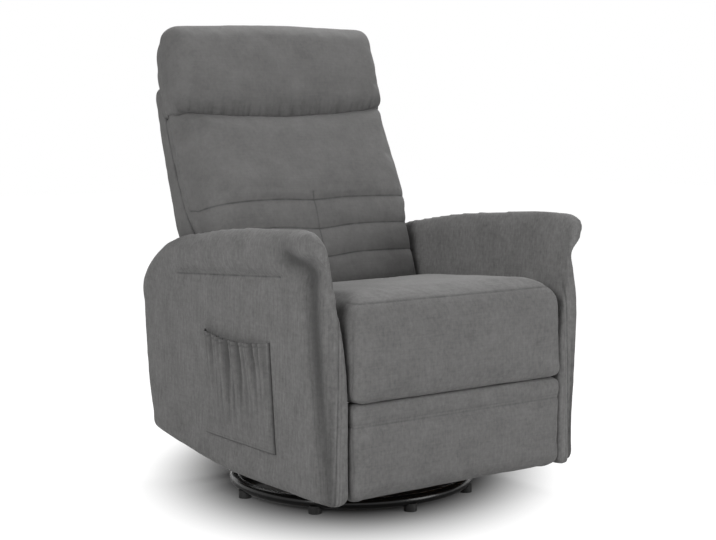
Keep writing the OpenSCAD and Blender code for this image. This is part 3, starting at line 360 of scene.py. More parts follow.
def rolled_form(name, rings):
    """A closed form through rings of points: a grid is rolled up, joined along its edge and filled."""
    count, around = rings.shape[:2]
    alone()
    bpy.ops.mesh.primitive_grid_add(x_subdivisions=count - 1, y_subdivisions=around, size=2)
    piece = bpy.context.object
    piece.name = piece.data.name = name
    piece.data.uv_layers.remove(piece.data.uv_layers[0])
    grid = places(piece) * MM
    along = np.rint((grid[:, 0] + 1) / 2 * (count - 1)).astype(int)
    turn = np.rint((grid[:, 1] + 1) / 2 * around).astype(int) % around
    put(piece, rings[along, turn])
    in_edit(piece)
    bpy.ops.mesh.remove_doubles(threshold=1e-6)
    bpy.ops.mesh.fill_holes(sides=0)
    bpy.ops.mesh.normals_make_consistent(inside=False)
    bpy.ops.object.mode_set(mode="OBJECT")
    return piece


def round_curve(marks, steps=6):
    """A closed smooth curve through marks, with even steps from each mark to the next."""
    marks = np.asarray(marks, dtype=float)
    last, after, far = (np.roll(marks, n, axis=0) for n in (1, -1, -2))
    length = np.linalg.norm(after - marks, axis=1, keepdims=True) + 1e-6
    before = np.roll(length, 1, axis=0)
    slope = ((marks - last) / before * length + (after - marks) / length * before) / (before + length)
    t = (np.arange(steps) / steps)[None, :, None]
    start, end = (slope * length)[:, None], (np.roll(slope, -1, axis=0) * length)[:, None]
    curve = (2 * t**3 - 3 * t**2 + 1) * marks[:, None] + (t**3 - 2 * t**2 + t) * start
    curve = curve + (3 * t**2 - 2 * t**3) * after[:, None] + (t**3 - t**2) * end
    return curve.reshape(-1, marks.shape[1])


def edge_inset(x, half, radius):
    near = np.clip(1 - (half - abs(x)) / radius, 0, 1)
    return radius * (1 - math.sqrt(1 - near**2))


def crown(x, half, power=2.6):
    return 1 - abs(x / half) ** power


def across(half, radius, count=12):
    """Places from side to side, close together where the edge is rounded."""
    rounded = half - radius * (1 - np.sin(np.linspace(0, math.pi / 2, 8)))
    right = np.concatenate([np.linspace(0, half - radius, count)[:-1], rounded])
    return np.concatenate([-right[:0:-1], right])


def crosswise_form(name, half, radius, section):
    rings = []
    for x in across(half, radius):
        loop = round_curve(section(x))
        rings.append(np.column_stack([np.full(len(loop), x), loop]))
    return rolled_form(name, np.array(rings))


def ripple(along, pitch, seed):
    """A smooth row of uneven waves from -1 to 1."""
    knots = np.random.default_rng(seed).uniform(-1, 1, 4000)
    spot = along / pitch + 2000
    low = np.floor(spot).astype(int)
    share = spot - low
    share = share * share * (3 - 2 * share)
    return knots[low % 4000] * (1 - share) + knots[(low + 1) % 4000] * share


def lumps(spots, size, seed):
    """Soft unevenness of foam and cloth: a few broad waves in chance directions."""
    rng = np.random.default_rng(seed)
    total = np.zeros(len(spots))
    for _ in range(7):
        heading = rng.normal(size=3)
        heading *= 2 * math.pi / size / np.linalg.norm(heading) * rng.uniform(0.7, 1.4)
        total += np.sin(spots @ heading + rng.uniform(0, 6.28))
    return total / 7


print("tools ready")

# %% [markdown]
# ## Seams
#
# Each seam is the place where a plane cuts the cover, kept only where the real one runs. The same
# entry pins the cloth while it is blown up, cuts a clean line of points afterwards, pulls a groove in
# and puckers the cloth beside it, so the four always agree.

# %% Sewing
class Seam:
    def __init__(self, point, heading, keep, deep=3.0, wide=9.0, pucker=0.0, pitch=17.0, line=1.0,
                 reach=24.0, ink=1.9):
        self.point = np.array(point, dtype=float)
        self.heading = np.array(heading, dtype=float) / np.linalg.norm(heading)
        self.keep, self.deep, self.wide = keep, deep, wide
        self.pucker, self.pitch, self.line, self.reach, self.ink = pucker, pitch, line, reach, ink

    def signed(self, spots):
        return (spots - self.point) @ self.heading

    def distance(self, spots):
        return np.abs(self.signed(spots)) + 160 * (1 - self.keep(spots))


def fade(value, start, end):
    """0 before start, 1 after end, and smooth between them. Start may lie above end."""
    share = np.clip((value - start) / (end - start), 0, 1)
    return share * share * (3 - 2 * share)


# Cloth within this many millimetres of a seam is held, and the blowing up takes this many frames
HELD_WITHIN = 4.9
FRAMES = 20


def even_out(piece, voxel, strokes=1):
    finish_modifier(piece, "REMESH", mode="VOXEL", voxel_size=voxel * MM)
    finish_modifier(piece, "SMOOTH", factor=0.5, iterations=strokes)


def blow_up(jobs):
    """Blow every cover up together, held along its seams, and keep each point near its form."""
    for job in jobs:
        piece, spots = job["piece"], places(job["piece"])
        near = np.min([seam.distance(spots) for seam in job["seams"]], axis=0)
        job["before"], job["near"] = spots, near
        job["held"] = (near < HELD_WITHIN) | job["rest"](spots)
        group = piece.vertex_groups.new(name="sewn")
        group.add(np.flatnonzero(job["held"]).tolist(), 1.0, "REPLACE")
        alone(piece)
        bpy.ops.object.modifier_add(type="CLOTH")
        cloth = piece.modifiers[-1]
        cloth.settings.quality = 4
        cloth.settings.mass = 0.3
        cloth.settings.tension_stiffness = 12
        cloth.settings.compression_stiffness = 12
        cloth.settings.shear_stiffness = 6
        cloth.settings.bending_stiffness = 0.6
        cloth.settings.use_pressure = True
        cloth.settings.uniform_pressure_force = job["pressure"]
        cloth.settings.shrink_min = -job["spare"]
        cloth.settings.effector_weights.gravity = 0
        cloth.settings.vertex_group_mass = "sewn"
        cloth.point_cache.frame_start = 1
        cloth.point_cache.frame_end = FRAMES
    for frame_number in range(1, FRAMES + 1):
        scene.frame_set(frame_number)
    for job in jobs:
        piece, cap = job["piece"], job["cap"]
        alone(piece)
        bpy.ops.object.modifier_apply(modifier=piece.modifiers[-1].name)
        moved = places(piece) - job["before"]
        far = np.linalg.norm(moved, axis=1, keepdims=True) + 1e-9
        put(piece, job["before"] + moved * np.tanh(far / cap) * cap / far)
        print(job["piece"].name, "swelled by up to", round(float(far.max()), 1), "mm, kept within", cap)
    scene.frame_set(1)


def sew(job):
    """One subdivision, a clean cut along each seam, then grooves, puckers, the seam's dark line and painted
    shade in the puckers' folds.
    """
    piece = job["piece"]
    finish_modifier(piece, "SMOOTH", factor=0.5, iterations=job["strokes"])
    finish_modifier(piece, "SUBSURF", levels=1, render_levels=1)
    in_edit(piece)
    for seam in job["seams"]:
        if seam.line > 0:
            for step in (-2.4, 0, 2.4):
                bpy.ops.mesh.select_all(action="SELECT")
                bpy.ops.mesh.bisect(plane_co=(seam.point + seam.heading * step) * MM, plane_no=seam.heading)
    bpy.ops.object.mode_set(mode="OBJECT")
    spots, normal = places(piece), outward(piece)
    shade = np.zeros(len(spots))
    pull = np.zeros(len(spots))
    for number, seam in enumerate(job["seams"]):
        away = seam.distance(spots)
        pull += seam.deep * np.exp(-((away / seam.wide) ** 2))
        pull += 0.9 * seam.line * np.exp(-((away / 2.2) ** 2))
        side = np.cross(seam.heading, normal)
        other = (1, 0, 0) if abs(seam.heading[0]) < 0.5 else (0, 1, 0)
        along = spots @ np.abs(np.cross(seam.heading, other))
        along = np.where(np.abs(side[:, 0]) > 0.6, spots[:, 0], along)
        drawn = seam.line * (0.85 + 0.25 * ripple(along, 14, 91 + number))
        shade = np.maximum(shade, drawn * np.exp(-((away / seam.ink) ** 2)))
        if seam.pucker:
            wave = ripple(along, seam.pitch, 11 + number)
            wave = wave + 0.5 * ripple(along, seam.pitch * 0.45, 51 + number)
            wave = wave * np.where(seam.signed(spots) > 0, 1, 0.7)
            beside = np.exp(-((away / seam.reach) ** 2)) * (1 - np.exp(-((away / 4) ** 2)))
            wave = seam.pucker * wave * beside
            pull += wave
            # Painted shade: the valleys of the puckers are darkened
            shade = np.maximum(shade, np.clip(0.24 * wave, 0, 0.45))
    pull += job["uneven"] * lumps(spots, 150, 5) + 0.35 * lumps(spots, 42, 9)
    put(piece, spots - normal * pull[:, None])
    mark = piece.data.attributes.new("seam", "FLOAT", "POINT")
    mark.data.foreach_set("value", shade.astype(np.float32))


# %% [markdown]
# ## The seat cushion
#
# A box of foam with a top panel that rolls over the front edge. One seam crosses the front just below
# the crest and turns the corners, and the top rises to a soft crown. It is rolled up from sections
# across the chair, each drawn in where the side edge is rounded.

# %% Seat cushion
SEAT_HALF = 287.5
SEAT_SEAM_Z = 496.0
LEAN = math.radians(18.5)
HINGE = (190.0, 330.0)


def back_plane(z, deep):
    return HINGE[0] - deep / math.cos(LEAN) + (z - HINGE[1]) * math.tan(LEAN)


def seat_section(x):
    e, c = edge_inset(x, SEAT_HALF, 13), crown(x, SEAT_HALF)
    top_e = edge_inset(x, SEAT_HALF, 42)
    deep = 138 + 24 * c
    corner = 288.3 + 0.6 * edge_inset(x, SEAT_HALF, 26)
    front, low, seam = -406 + 0.8 * e, 288.3, SEAT_SEAM_Z - 0.6 * top_e
    high_front, high_rear = seam + 12 + 3 * c - 0.3 * top_e, 480 - 0.7 * top_e
    rear_low, rear_high = back_plane(low, deep) - e / 2, back_plane(high_rear, deep) - e / 2
    marks = [(rear_low, low), ((rear_low + rear_high) / 2, (low + high_rear) / 2),
             (rear_high - 2, high_rear - 14), (rear_high - 9, high_rear - 1)]
    run = front + 44 - rear_high
    for k in np.linspace(0.1, 1, 8):
        rise = (high_front - high_rear) * k + (5 + 3 * c) * k * (1 - k)
        marks.append((rear_high + run * k, high_rear + rise))
    marks += [(front + 24, high_front - 4), (front + 10, seam - 1), (front + 3, seam - 12),
              (front, seam - 26)]
    marks += [(front - 9 * k - 2 * c, seam - (seam - low) * k) for k in (0.3, 0.55, 0.78)]
    return marks + [(front - 8, corner + 8), (front - 5, corner + 2), (front + 6, corner),
                    (front + 30, low), (front + 70, low)]


seat = dict(
    piece=crosswise_form("seat_upholstery", SEAT_HALF, 42, seat_section),
    seams=[
        Seam((0, 0, SEAT_SEAM_Z), (0, 0, 1),
             lambda q: fade(q[:, 1], -330, -360) * fade(np.abs(q[:, 0]), 292, 290), 1.3, 8, 0.35, 22, 0.6),
    ],
    rest=lambda q: (q[:, 2] < 291) | (q[:, 1] > 20), cap=6.0, pressure=4.0, spare=0.01, uneven=1.0,
    strokes=9, body="seat", nodes=["seat_cushion"], fill=0.85,
)
even_out(seat["piece"], 6.0, 3)
print("seat form", len(seat["piece"].data.vertices))

# %% [markdown]
# ## The footrest pad
#
# A thin pad on a board. Its cover has one cross seam near the top, stitched twice, and its lower
# corners are well rounded. The back of it lies flat on the board, so those points are held.

# %% Footrest pad
PAD_SEAM_Z = 241.0


def pad_section(x):
    e, low_e = edge_inset(x, SEAT_HALF, 8), edge_inset(x, SEAT_HALF, 22)
    front, rear, low, high = -408 + 0.8 * e, -353, 79 + 0.8 * low_e, 286.4
    corner = high - 0.6 * edge_inset(x, SEAT_HALF, 18)
    return [(rear, low + 12), (rear, (low + high) / 2), (rear, high - 6), (rear - 3, high),
            (rear - 16, high), (front + 22, high), (front + 6, corner), (front + 2, corner - 3),
            (front, corner - 12), (front, PAD_SEAM_Z + 12), (front + 0.6, PAD_SEAM_Z),
            (front, PAD_SEAM_Z - 12), (front - 1, 190), (front - 1, 140), (front, low + 22),
            (front + 4, low + 6), (front + 14, low), (rear - 8, low + 1)]


def on_pad_front(spots):
    return fade(spots[:, 1], -360, -372)


pad = dict(
    piece=crosswise_form("footrest_upholstery", SEAT_HALF, 22, pad_section),
    seams=[
        Seam((0, 0, PAD_SEAM_Z), (0, 0, 1), on_pad_front, 1.0, 8, 0.3, 24, 0.4),
        Seam((0, 0, PAD_SEAM_Z + 6.5), (0, 0, 1), on_pad_front, 0.3, 3, 0, 20, 0.25),
    ],
    rest=lambda q: (q[:, 1] > -362) | (q[:, 2] > 283), cap=6.0, pressure=3.0, spare=0.01, uneven=0.8,
    strokes=6, body="footrest", nodes=["footrest_pad"], fill=0.7,
)
even_out(pad["piece"], 5.0)
print("pad form", len(pad["piece"].data.vertices))

# %% [markdown]
# ## The lumbar cushion
#
# The back is upholstered in its own frame: N is depth behind the hinge line and T runs up the back.
# Below the head pillow a smooth panel hangs over three sewn channels, and a seam down the middle
# divides them. The sides are a narrow gusset between two seams.

# %% Lumbar cushion
BACK_HALF = 288.0
CAVITY_HALF = 250.0
CORE_N = -14.5
edge_marks = ([40, 200, 272, 360, 426, 535, 633, 667, 739, 786],
              [-70, -58, -37, -20, -11, -8, -9, -12, -23, -30])
lumbar_marks = ((0, 0.12, 0.5, 0.68, 0.82, 1), (0.9, 0.99, 1, 0.985, 0.915, 0.8))


def rear_edge(t):
    """Where the cushions end and the shell begins, on the sides of the back."""
    return float(np.interp(t, *edge_marks))


def lumbar_front(t):
    return -128 * float(np.interp((t - 46) / 509, *lumbar_marks))


CHANNELS = (321.0, 252.0, 181.0, 108.0)


def lumbar_section(x):
    e, c = edge_inset(x, BACK_HALF, 20), crown(x, BACK_HALF)
    turn = 0.8 * edge_inset(x, BACK_HALF, 56) if x < 0 else 0.9 * e
    plug = abs(x) < CAVITY_HALF
    rear = [(CORE_N if plug else rear_edge(t) - 0.5, t) for t in (48, 150, 250, 360, 450, 540 - 0.3 * e)]
    marks = rear + [(-60 - 12 * c, 552 - 0.3 * e), (lumbar_front(545) * 0.9 - 6 * c + turn, 550 - 0.2 * e)]
    for t in (535, 515, 480, 440, 400, 365, 345):
        marks.append((lumbar_front(t) - 3 - 14 * c * (0.8 + 0.2 * (t < 400)) + turn, t))
    for t in np.arange(335, 60, -12.0):
        sewn = min(abs(t - q) for q in CHANNELS)
        marks.append((lumbar_front(t) - 3 - 16 * c + turn + 1.2 * math.exp(-(sewn / 9) ** 2), t))
    return marks + [(lumbar_front(60) - 8 * c + turn, 56), (lumbar_front(60) * 0.8 + turn, 49)]


def on_back_front(spots):
    return fade(spots[:, 1], -52, -62)


def on_back_side(spots):
    return fade(np.abs(spots[:, 0]), 262, 272)


GUSSET = ((0, -21, 653), (0, 1, -0.083))
lumbar = dict(
    piece=crosswise_form("lumbar_upholstery", BACK_HALF, 56, lumbar_section),
    seams=[Seam((0, 0, t), (0, 0, 1), on_back_front, 1.7, 9, 0.4, 19, 0.85) for t in CHANNELS]
    + [
        Seam((0, 0, 0), (1, 0, 0), lambda q: on_back_front(q) * fade(q[:, 2], 346, 341),
             1.6, 9, 0.35, 21, 0.6),
        Seam(*GUSSET, on_back_side, 6.5, 7, 0.4, 20, 1.0, ink=3.6),
    ],
    rest=lambda q: (q[:, 1] > -24) | (q[:, 2] < 54), cap=5.5, pressure=4.0, spare=0.006, uneven=1.1,
    strokes=5, body="back", nodes=["lumbar_cushion"], fill=0.75, leaning=True,
)
even_out(lumbar["piece"], 5.5, 2)
print("lumbar form", len(lumbar["piece"].data.vertices))

# %% [markdown]
# ## The head pillow
#
# A fuller bag of filling on top, fixed along its lower edge, with gathers where it meets the lumbar
# cushion. It is widest at the bottom and rolls back over the shell.

# %% Head pillow
PILLOW_LOW = 541.0
PILLOW_HALF = 295.5


def pillow_section(x):
    e, c = edge_inset(x, PILLOW_HALF, 27), crown(x, PILLOW_HALF, 3.2)
    high = 784 + 11 * crown(x, PILLOW_HALF, 2.0) + 5 * x / PILLOW_HALF - e
    h = high - PILLOW_LOW
    front = -113 - 7 * c + 0.85 * edge_inset(x, PILLOW_HALF, 20)
    back = [(rear_edge(t) - 0.5 - 0.35 * e * (t > 660), min(t, PILLOW_LOW + h * k)) for t, k in
            ((543, 0.01), (600, 0.25), (650, 0.45), (700, 0.66), (735, 0.8))]
    return back + [(rear_edge(760) - 8 - 0.3 * e, PILLOW_LOW + h * 0.93), (-44 - 0.2 * e, high - 3),
                   (-72, high), (front + 14, high - 9), (front + 2, high - 28), (front - 2, high - 60),
                   (front - 4, PILLOW_LOW + h * 0.5), (front + 1, PILLOW_LOW + h * 0.25),
                   (front + 8, PILLOW_LOW + 24), (front + 18, PILLOW_LOW + 8), (front + 30, PILLOW_LOW + 1),
                   (-50, PILLOW_LOW)]


pillow = dict(
    piece=crosswise_form("pillow_upholstery", PILLOW_HALF, 27, pillow_section),
    seams=[
        Seam((0, 0, PILLOW_LOW), (0, 0, 1), on_back_front, 0.0, 9, 1.7, 7.5, 0.0, 26),
        Seam(*GUSSET, on_back_side, 4.0, 6, 0.4, 22, 0.9, ink=2.6),
    ],
    rest=lambda q: (q[:, 2] < PILLOW_LOW + 4) | ((q[:, 1] > -16) & (q[:, 2] < 660)),
    cap=6.5, pressure=4.0, spare=0.01, uneven=0.9, strokes=9, body="back", nodes=["head_pillow"],
    fill=0.7, leaning=True,
)
even_out(pillow["piece"], 5.5, 3)
print("pillow form", len(pillow["piece"].data.vertices))

# %% [markdown]
# ## The padded shell behind the back
#
# The outside of the back is a cloth skin over thin padding on the frame, with its upper edge rolled
# forward to the pillow. The solid's skirt below the hinges isn't drawn. The front of the shell is
# pushed in later to a flat-bottomed well, which leaves the room for the frame and the webbing.

# %% Back shell
SHELL_TOP = 652.0


def shell_section(x):
    e, c = edge_inset(x, BACK_HALF, 14), crown(x, BACK_HALF)
    deep = 41 - e
    front = [(rear_edge(t) + 1 + 0.2 * e, t) for t in (48, 150, 250, 350, 450, 550)]
    marks = [(deep - 6, 47), (deep + 1, 66), (deep + 3 + 3 * c, 250), (deep + 2 + 2 * c, 400), (deep, 520),
             (deep - 5, 600 - 0.4 * e), (deep - 10, 640 - 0.8 * e), (deep - 26, SHELL_TOP + 4 - e),
             (-4, SHELL_TOP - 5 - e), (rear_edge(630) + 1, 632 - e)]
    return marks + front[::-1]


def on_shell_rear(spots):
    return fade(spots[:, 1], 2, 12) * fade(spots[:, 2], 640, 630)


shell = dict(
    piece=crosswise_form("shell_upholstery", BACK_HALF, 14, shell_section),
    seams=[Seam((x, 0, 0), (1, 0, 0), on_shell_rear, 1.5, 7, 0.4, 24) for x in (226, -226)],
    rest=lambda q: (q[:, 1] < 0) | (q[:, 2] < 52), cap=4.0, pressure=2.5, spare=0.008, uneven=0.9,
    strokes=6, body="back", nodes=["back_shell"], fill=0.5, leaning=True,
)
even_out(shell["piece"], 6.5, 2)
print("shell form", len(shell["piece"].data.vertices))

# %% [markdown]
# ## The arms
#
# Each arm is a wooden side wrapped in foam. The inner face flares outwards to a crest, and the cover
# rolls over it and overhangs the outer face. A border runs up the front, and the outer panel is sewn
# to it and to the underside of the roll. The form is rolled up from sections along the arm.

# %% Arms
ARM_FRONT, ARM_LONG = -400.0, 782.0
ARM_LOW, ARM_HIGH = 85.0, 570.0
INNER_X, ARM_WIDE = 291.0, 63.5
# The seam between the border and the outer panel: a point of its plane, the plane's heading, and
# the length of that heading
BORDER, BORDER_LONG = ((0, -348, 320), (0, 455, -59)), 458.8
top_marks = ([0, 0.006, 0.023, 0.051, 0.123, 0.18, 0.34, 0.43,
              0.506, 0.577, 0.634, 0.762, 0.871, 0.947, 0.985, 1],
             [0.937, 0.955, 0.972, 0.987, 0.994, 0.994, 0.988, 0.98,
              0.97, 0.959, 0.946, 0.916, 0.864, 0.793, 0.737, 0.715])
inset_marks = ([0, 0.005, 0.018, 0.042, 0.1, 0.87, 0.94, 0.985, 1],
               [0.4, 0.16, 0.04, 0.0, 0, 0, 0.03, 0.15, 0.4])
rear_marks = ([86, 125, 231, 427, 526, 620], [-24, -18, 8, 31, 34, 26])
# The roll and the outer face, as a share of the way from crest to tip and of the height, in the
# middle of the arm and at its front, where the roll thins to a lip
roll_middle = ((0.25, 1.0), (0.55, 0.985), (0.8, 0.962), (0.97, 0.925), (1.02, 0.885), (0.94, 0.845))
roll_front = ((0.28, 1.0), (0.6, 1.004), (0.88, 1.003), (1.0, 0.992), (0.92, 0.97), (0.68, 0.938))
face_middle = ((-1.0, 0.8), (-0.5, 0.76), (0, 0.66), (0.5, 0.45), (0, 0.2), (-0.5, 0.08))
face_front = ((-5.0, 0.9), (-1.5, 0.824), (3.5, 0.68), (5.0, 0.48), (3.0, 0.22), (1.0, 0.07))


def arm_section(s):
    inset = 20 * float(np.interp(s, *inset_marks))
    rear, ahead = max(0.0, (s - 0.64) / 0.36), max(0.0, 1 - s / 0.2)
    ahead = ahead * ahead * (3 - 2 * ahead)
    low = ARM_LOW + 36 * max(0.0, (s - 0.5) / 0.5)
    h = ARM_LOW + ARM_HIGH * float(np.interp(s, *top_marks)) - low
    inner, outer = INNER_X + 1 + inset, INNER_X + ARM_WIDE - 12 * rear * rear - inset
    recess = 3.5 * float(fade(s, 0.1, 0.16) * fade(s, 0.84, 0.78))
    tip = outer + 8 * (1 - rear) + 18 * ahead + inset / 4
    crest = inner + (tip - inner) * (0.51 + 0.12 * ahead)
    marks = [(inner + (crest - inner) * a, low + h * b) for a, b in
             ((0, 0.06), (0, 0.2), (0.01, 0.38), (0.2, 0.6), (0.47, 0.75), (0.72, 0.88), (0.87, 0.95))]
    for (a, b), (c, d) in zip(roll_middle, roll_front):
        marks.append((crest + (tip - crest) * (a + (c - a) * ahead), low + h * (b + (d - b) * ahead)))
    for (a, b), (c, d) in zip(face_middle, face_front):
        marks.append((outer - recess + a + (c - a) * ahead, low + h * (b + (d - b) * ahead)))
    marks += [(outer - 0.5, low + 6), (outer - 5, low), (inner + 5, low), (inner + 0.5, low + 6)]
    loop = round_curve(marks, 5)
    lean = rear * np.interp(loop[:, 1], *rear_marks) + 8 * ahead * fade(loop[:, 1], 400, 600)
    return np.column_stack([loop[:, 0], ARM_FRONT + ARM_LONG * s + lean, loop[:, 1]])


def arm_side(side):
    steps = np.concatenate([[0, 0.004, 0.01, 0.018, 0.03, 0.05, 0.075], np.linspace(0.1, 0.86, 22),
                            [0.9, 0.935, 0.96, 0.98, 0.992, 1]])
    rings = np.array([arm_section(s) for s in steps])
    rings[:, :, 0] *= side
    name = "right_arm_upholstery" if side > 0 else "left_arm_upholstery"

    def outer_face(q):
        return fade(side * q[:, 0], 332, 338)

    def under_roll(q):
        return outer_face(q) * fade(q[:, 1], -265, -225) * fade(q[:, 1], 285, 215)

    def front_face(q):
        return fade(q[:, 1], -374, -382) * fade(q[:, 2], 612, 560)

    seams = [
        Seam(BORDER[0], BORDER[1], lambda q: outer_face(q) * fade(q[:, 2], 575, 552), 1.0, 7, 0.3, 20, 0.2),
        Seam((0, 0, 526), (0, 31, 460), under_roll, 3.0, 10, 1.0, 13, 0.75, 17),
        Seam((side * 324, 0, 300), (side, 0, 0.03), front_face, 1.2, 6, 0.8, 11, 0.75, 18),
        Seam((side * 316, 0, 300), (side, 0, 0.03), front_face, 0.3, 3, 0, 11, 0.3),
    ]
    return dict(piece=rolled_form(name, rings), seams=seams, side=side, cap=1.5, pressure=3.0,
                spare=0.004, uneven=0.7, strokes=7, body="chair", fill=0.8,
                rest=lambda q: (q[:, 2] < 96) | ((side * q[:, 0] < 294) & (q[:, 2] < 380)),
                nodes=["right_arm_cover" if side > 0 else "left_arm_cover"])


arms = [arm_side(-1), arm_side(1)]
for arm in arms:
    even_out(arm["piece"], 5.5, 4)
    print(arm["piece"].name, len(arm["piece"].data.vertices))

# %% [markdown]
# ## Blowing the covers up
#
# All covers are simulated together, because stepping the frames once is quicker than once for each.
# They never meet, so no collision is needed. What follows is the sewing of each piece.

# %% Pressure, then needle and thread
jobs = [seat, pad, lumbar, pillow, shell, *arms]
blow_up(jobs)
for job in jobs:
    sew(job)
print("sewn", len(jobs))

# %% [markdown]
# ## Pulls that belong to one piece
#
# Some shapes come from how the cover was stretched: the lumbar seams sag in the middle,
# the pillow droops over its seam, and the arm has a valley behind its border and a dimple under the
# front of its roll. Shade is painted here too: low on the lumbar, under the pillow's droop and in the
# arm's valley and dimple. A dark line is also painted where the cushions meet the shell.

# %% Sags, valleys, dimples and painted shade
# Adds to the "seam" value, which darkens the cloth: painted shade, and the dark line where the cushions
# meet the shell
def darken(piece, amount):
    mark = piece.data.attributes["seam"]
    shade = np.empty(len(amount), dtype=np.float32)
    mark.data.foreach_get("value", shade)
    mark.data.foreach_set("value", np.clip(shade + amount, 0, 1).astype(np.float32))


seam_rise = ([-288, -150, 0, 150, 288], [10, 1, -1, 7, 23])
DIMPLE = (-282, 579)
DIMPLE_DEEP, VALLEY_DEEP, VALLEY_SHADE = 17, 10, 0.92
for job in (lumbar, pillow, shell):
    spots = places(job["piece"])
    x, front = spots[:, 0].copy(), fade(spots[:, 1], -60, -90)
    at_seam = np.exp(-(((spots[:, 2] - 545) / 70) ** 2))
    widened = (8 + 3 * (x > 0)) * (1 if job is lumbar else 0.8) - 4 * (x < 0) * fade(spots[:, 2], 640, 700)
    spots[:, 0] += widened * (x / BACK_HALF) ** 3 * fade(spots[:, 2], 240, 330)
    from_edge = spots[:, 1] - np.interp(spots[:, 2], *edge_marks)
    darken(job["piece"], 0.95 * fade(np.abs(x), 262, 274) * np.exp(-((from_edge / 4.5) ** 2)))
    if job is lumbar:
        dip = (5 + 4 * fade(spots[:, 2], 320, 270)) * np.exp(-((x / 75) ** 2)) * fade(spots[:, 2], 420, 330)
        near_top = fade(spots[:, 2], 250, 320) * fade(spots[:, 2], 430, 350)
        spots[:, 2] -= front * (dip + 8 * near_top * np.abs(x / BACK_HALF) ** 4 * (x < 0))
        # Painted shade: the lumbar's front is darker towards its bottom, near the seat
        darken(job["piece"], 0.16 * front * fade(spots[:, 2], 190, 90))
    if job is pillow:
        # Painted shade under the pillow's droop, just above its seam
        darken(job["piece"], 0.42 * front * np.exp(-(((spots[:, 2] - PILLOW_LOW) / 34) ** 2)))
    if job is not shell:
        spots[:, 2] += np.interp(x, *seam_rise) * at_seam * front
        spots[:, 2] += 24 * at_seam * fade(np.abs(x), 240, 270) * fade(spots[:, 1], -105, -40)
        ahead = -(spots - np.array(GUSSET[0])) @ np.array(GUSSET[1])
        spots[:, 0] += np.sign(x) * 7.5 * np.exp(-(((ahead - 14) / 9) ** 2)) * fade(np.abs(x), 240, 270)
    put(job["piece"], spots)

for job in (seat, pad):
    spots = places(job["piece"])
    spots[:, 0] += 6 * (spots[:, 0] / SEAT_HALF) ** 3 * fade(spots[:, 1], -396, -406)
    put(job["piece"], spots)

for arm in arms:
    spots = places(arm["piece"])
    upper = fade(spots[:, 2], 540, 630)
    if arm["side"] > 0:
        spots[:, 2] += (2 + 7 * fade(spots[:, 1], -90, -300)) * upper
        spots[:, 0] += 4 * fade(spots[:, 2], 560, 470) * fade(spots[:, 0], 325, 345)
    else:
        spots[:, 2] -= 5 * fade(spots[:, 1], -350, -200) * fade(spots[:, 1], 260, 120) * upper
    put(arm["piece"], spots)
    spots, normal = places(arm["piece"]), outward(arm["piece"])
    outer = fade(arm["side"] * spots[:, 0], 328, 338)
    behind = (spots - np.array(BORDER[0])) @ (np.array(BORDER[1]) / BORDER_LONG)
    valley = outer * np.exp(-(((behind + 26) / 27) ** 2)) * fade(spots[:, 2], 600, 545)
    slant = (spots[:, 1] - DIMPLE[0]) * 0.94 + (spots[:, 2] - DIMPLE[1]) * 0.34
    across_slant = (spots[:, 1] - DIMPLE[0]) * -0.34 + (spots[:, 2] - DIMPLE[1]) * 0.94
    dimple = outer * np.exp(-((slant / 55) ** 2) - ((across_slant / 25) ** 2))
    put(arm["piece"], spots - normal * (VALLEY_DEEP * valley + DIMPLE_DEEP * dimple)[:, None])
    # Painted shade: the valley and the dimple are darkened as well as pushed in
    valley = valley * (0.75 + 0.25 * fade(spots[:, 2], 220, 380))
    darken(arm["piece"], np.minimum(VALLEY_SHADE * valley + dimple, VALLEY_SHADE))
print("pulls made")

# %% [markdown]
# ## Room inside the seat and the shell
#
# The seat sits over its frame like a lid, open behind for the footrest's links, and the shell holds
# the back's frame. The faces over that room are extruded inwards, which leaves a rim of real
# thickness where the covers turn under.

# %% Hollows
def hollow(piece, chosen, axis, level):
    """Push the chosen faces in to a level: the walls come from extruding, the floor is made flat."""
    alone(piece)
    mesh = piece.data
    count = len(mesh.polygons)
    centre = np.empty(count * 3, dtype=np.float32)
    mesh.polygons.foreach_get("center", centre)
    normal = np.empty(count * 3, dtype=np.float32)
    mesh.polygons.foreach_get("normal", normal)
    picked = chosen(centre.reshape(-1, 3) / MM, normal.reshape(-1, 3))
    bpy.ops.object.mode_set(mode="EDIT")
    bpy.ops.mesh.select_mode(type="FACE")
    bpy.ops.mesh.select_all(action="DESELECT")
    bpy.ops.object.mode_set(mode="OBJECT")
    mesh.polygons.foreach_set("select", picked)
    bpy.ops.object.mode_set(mode="EDIT")
    bpy.ops.mesh.extrude_region_move()
    bpy.ops.object.mode_set(mode="OBJECT")
    moved = np.empty(len(mesh.vertices), dtype=bool)
    mesh.vertices.foreach_get("select", moved)
    spots = places(piece)
    spots[moved, axis] = level
    put(piece, spots)
    print(piece.name, "hollowed over", int(picked.sum()), "faces")


LINK_HALF = 285.8
Y_AXIS, Z_AXIS = 1, 2


def under_seat(q, n):
    """The bottom and the lower part of the rear, so that the links can pass out behind."""
    bottom = (n[:, 2] < -0.6) & (q[:, 2] < 300)
    behind = (n[:, 1] > 0.15) & (q[:, 1] > -25) & (q[:, 2] < 344)
    return (bottom | behind) & (abs(q[:, 0]) < LINK_HALF) & (q[:, 1] > -348)


def before_frame(q, n):
    front = (n[:, 1] < -0.5) & (q[:, 1] < 2)
    return front & (abs(q[:, 0]) < CAVITY_HALF + 4) & (q[:, 2] < 592)


hollow(seat["piece"], under_seat, Z_AXIS, 351.5)
hollow(shell["piece"], before_frame, Y_AXIS, 18.5)

# %% [markdown]
# ## Into place
#
# The pieces of the back were made upright, so they are leaned here about the hinge. Every point then
# moves from the swivel axis to its place in the frame, each piece gets its cloth, and it is tied to
# the body that carries it.

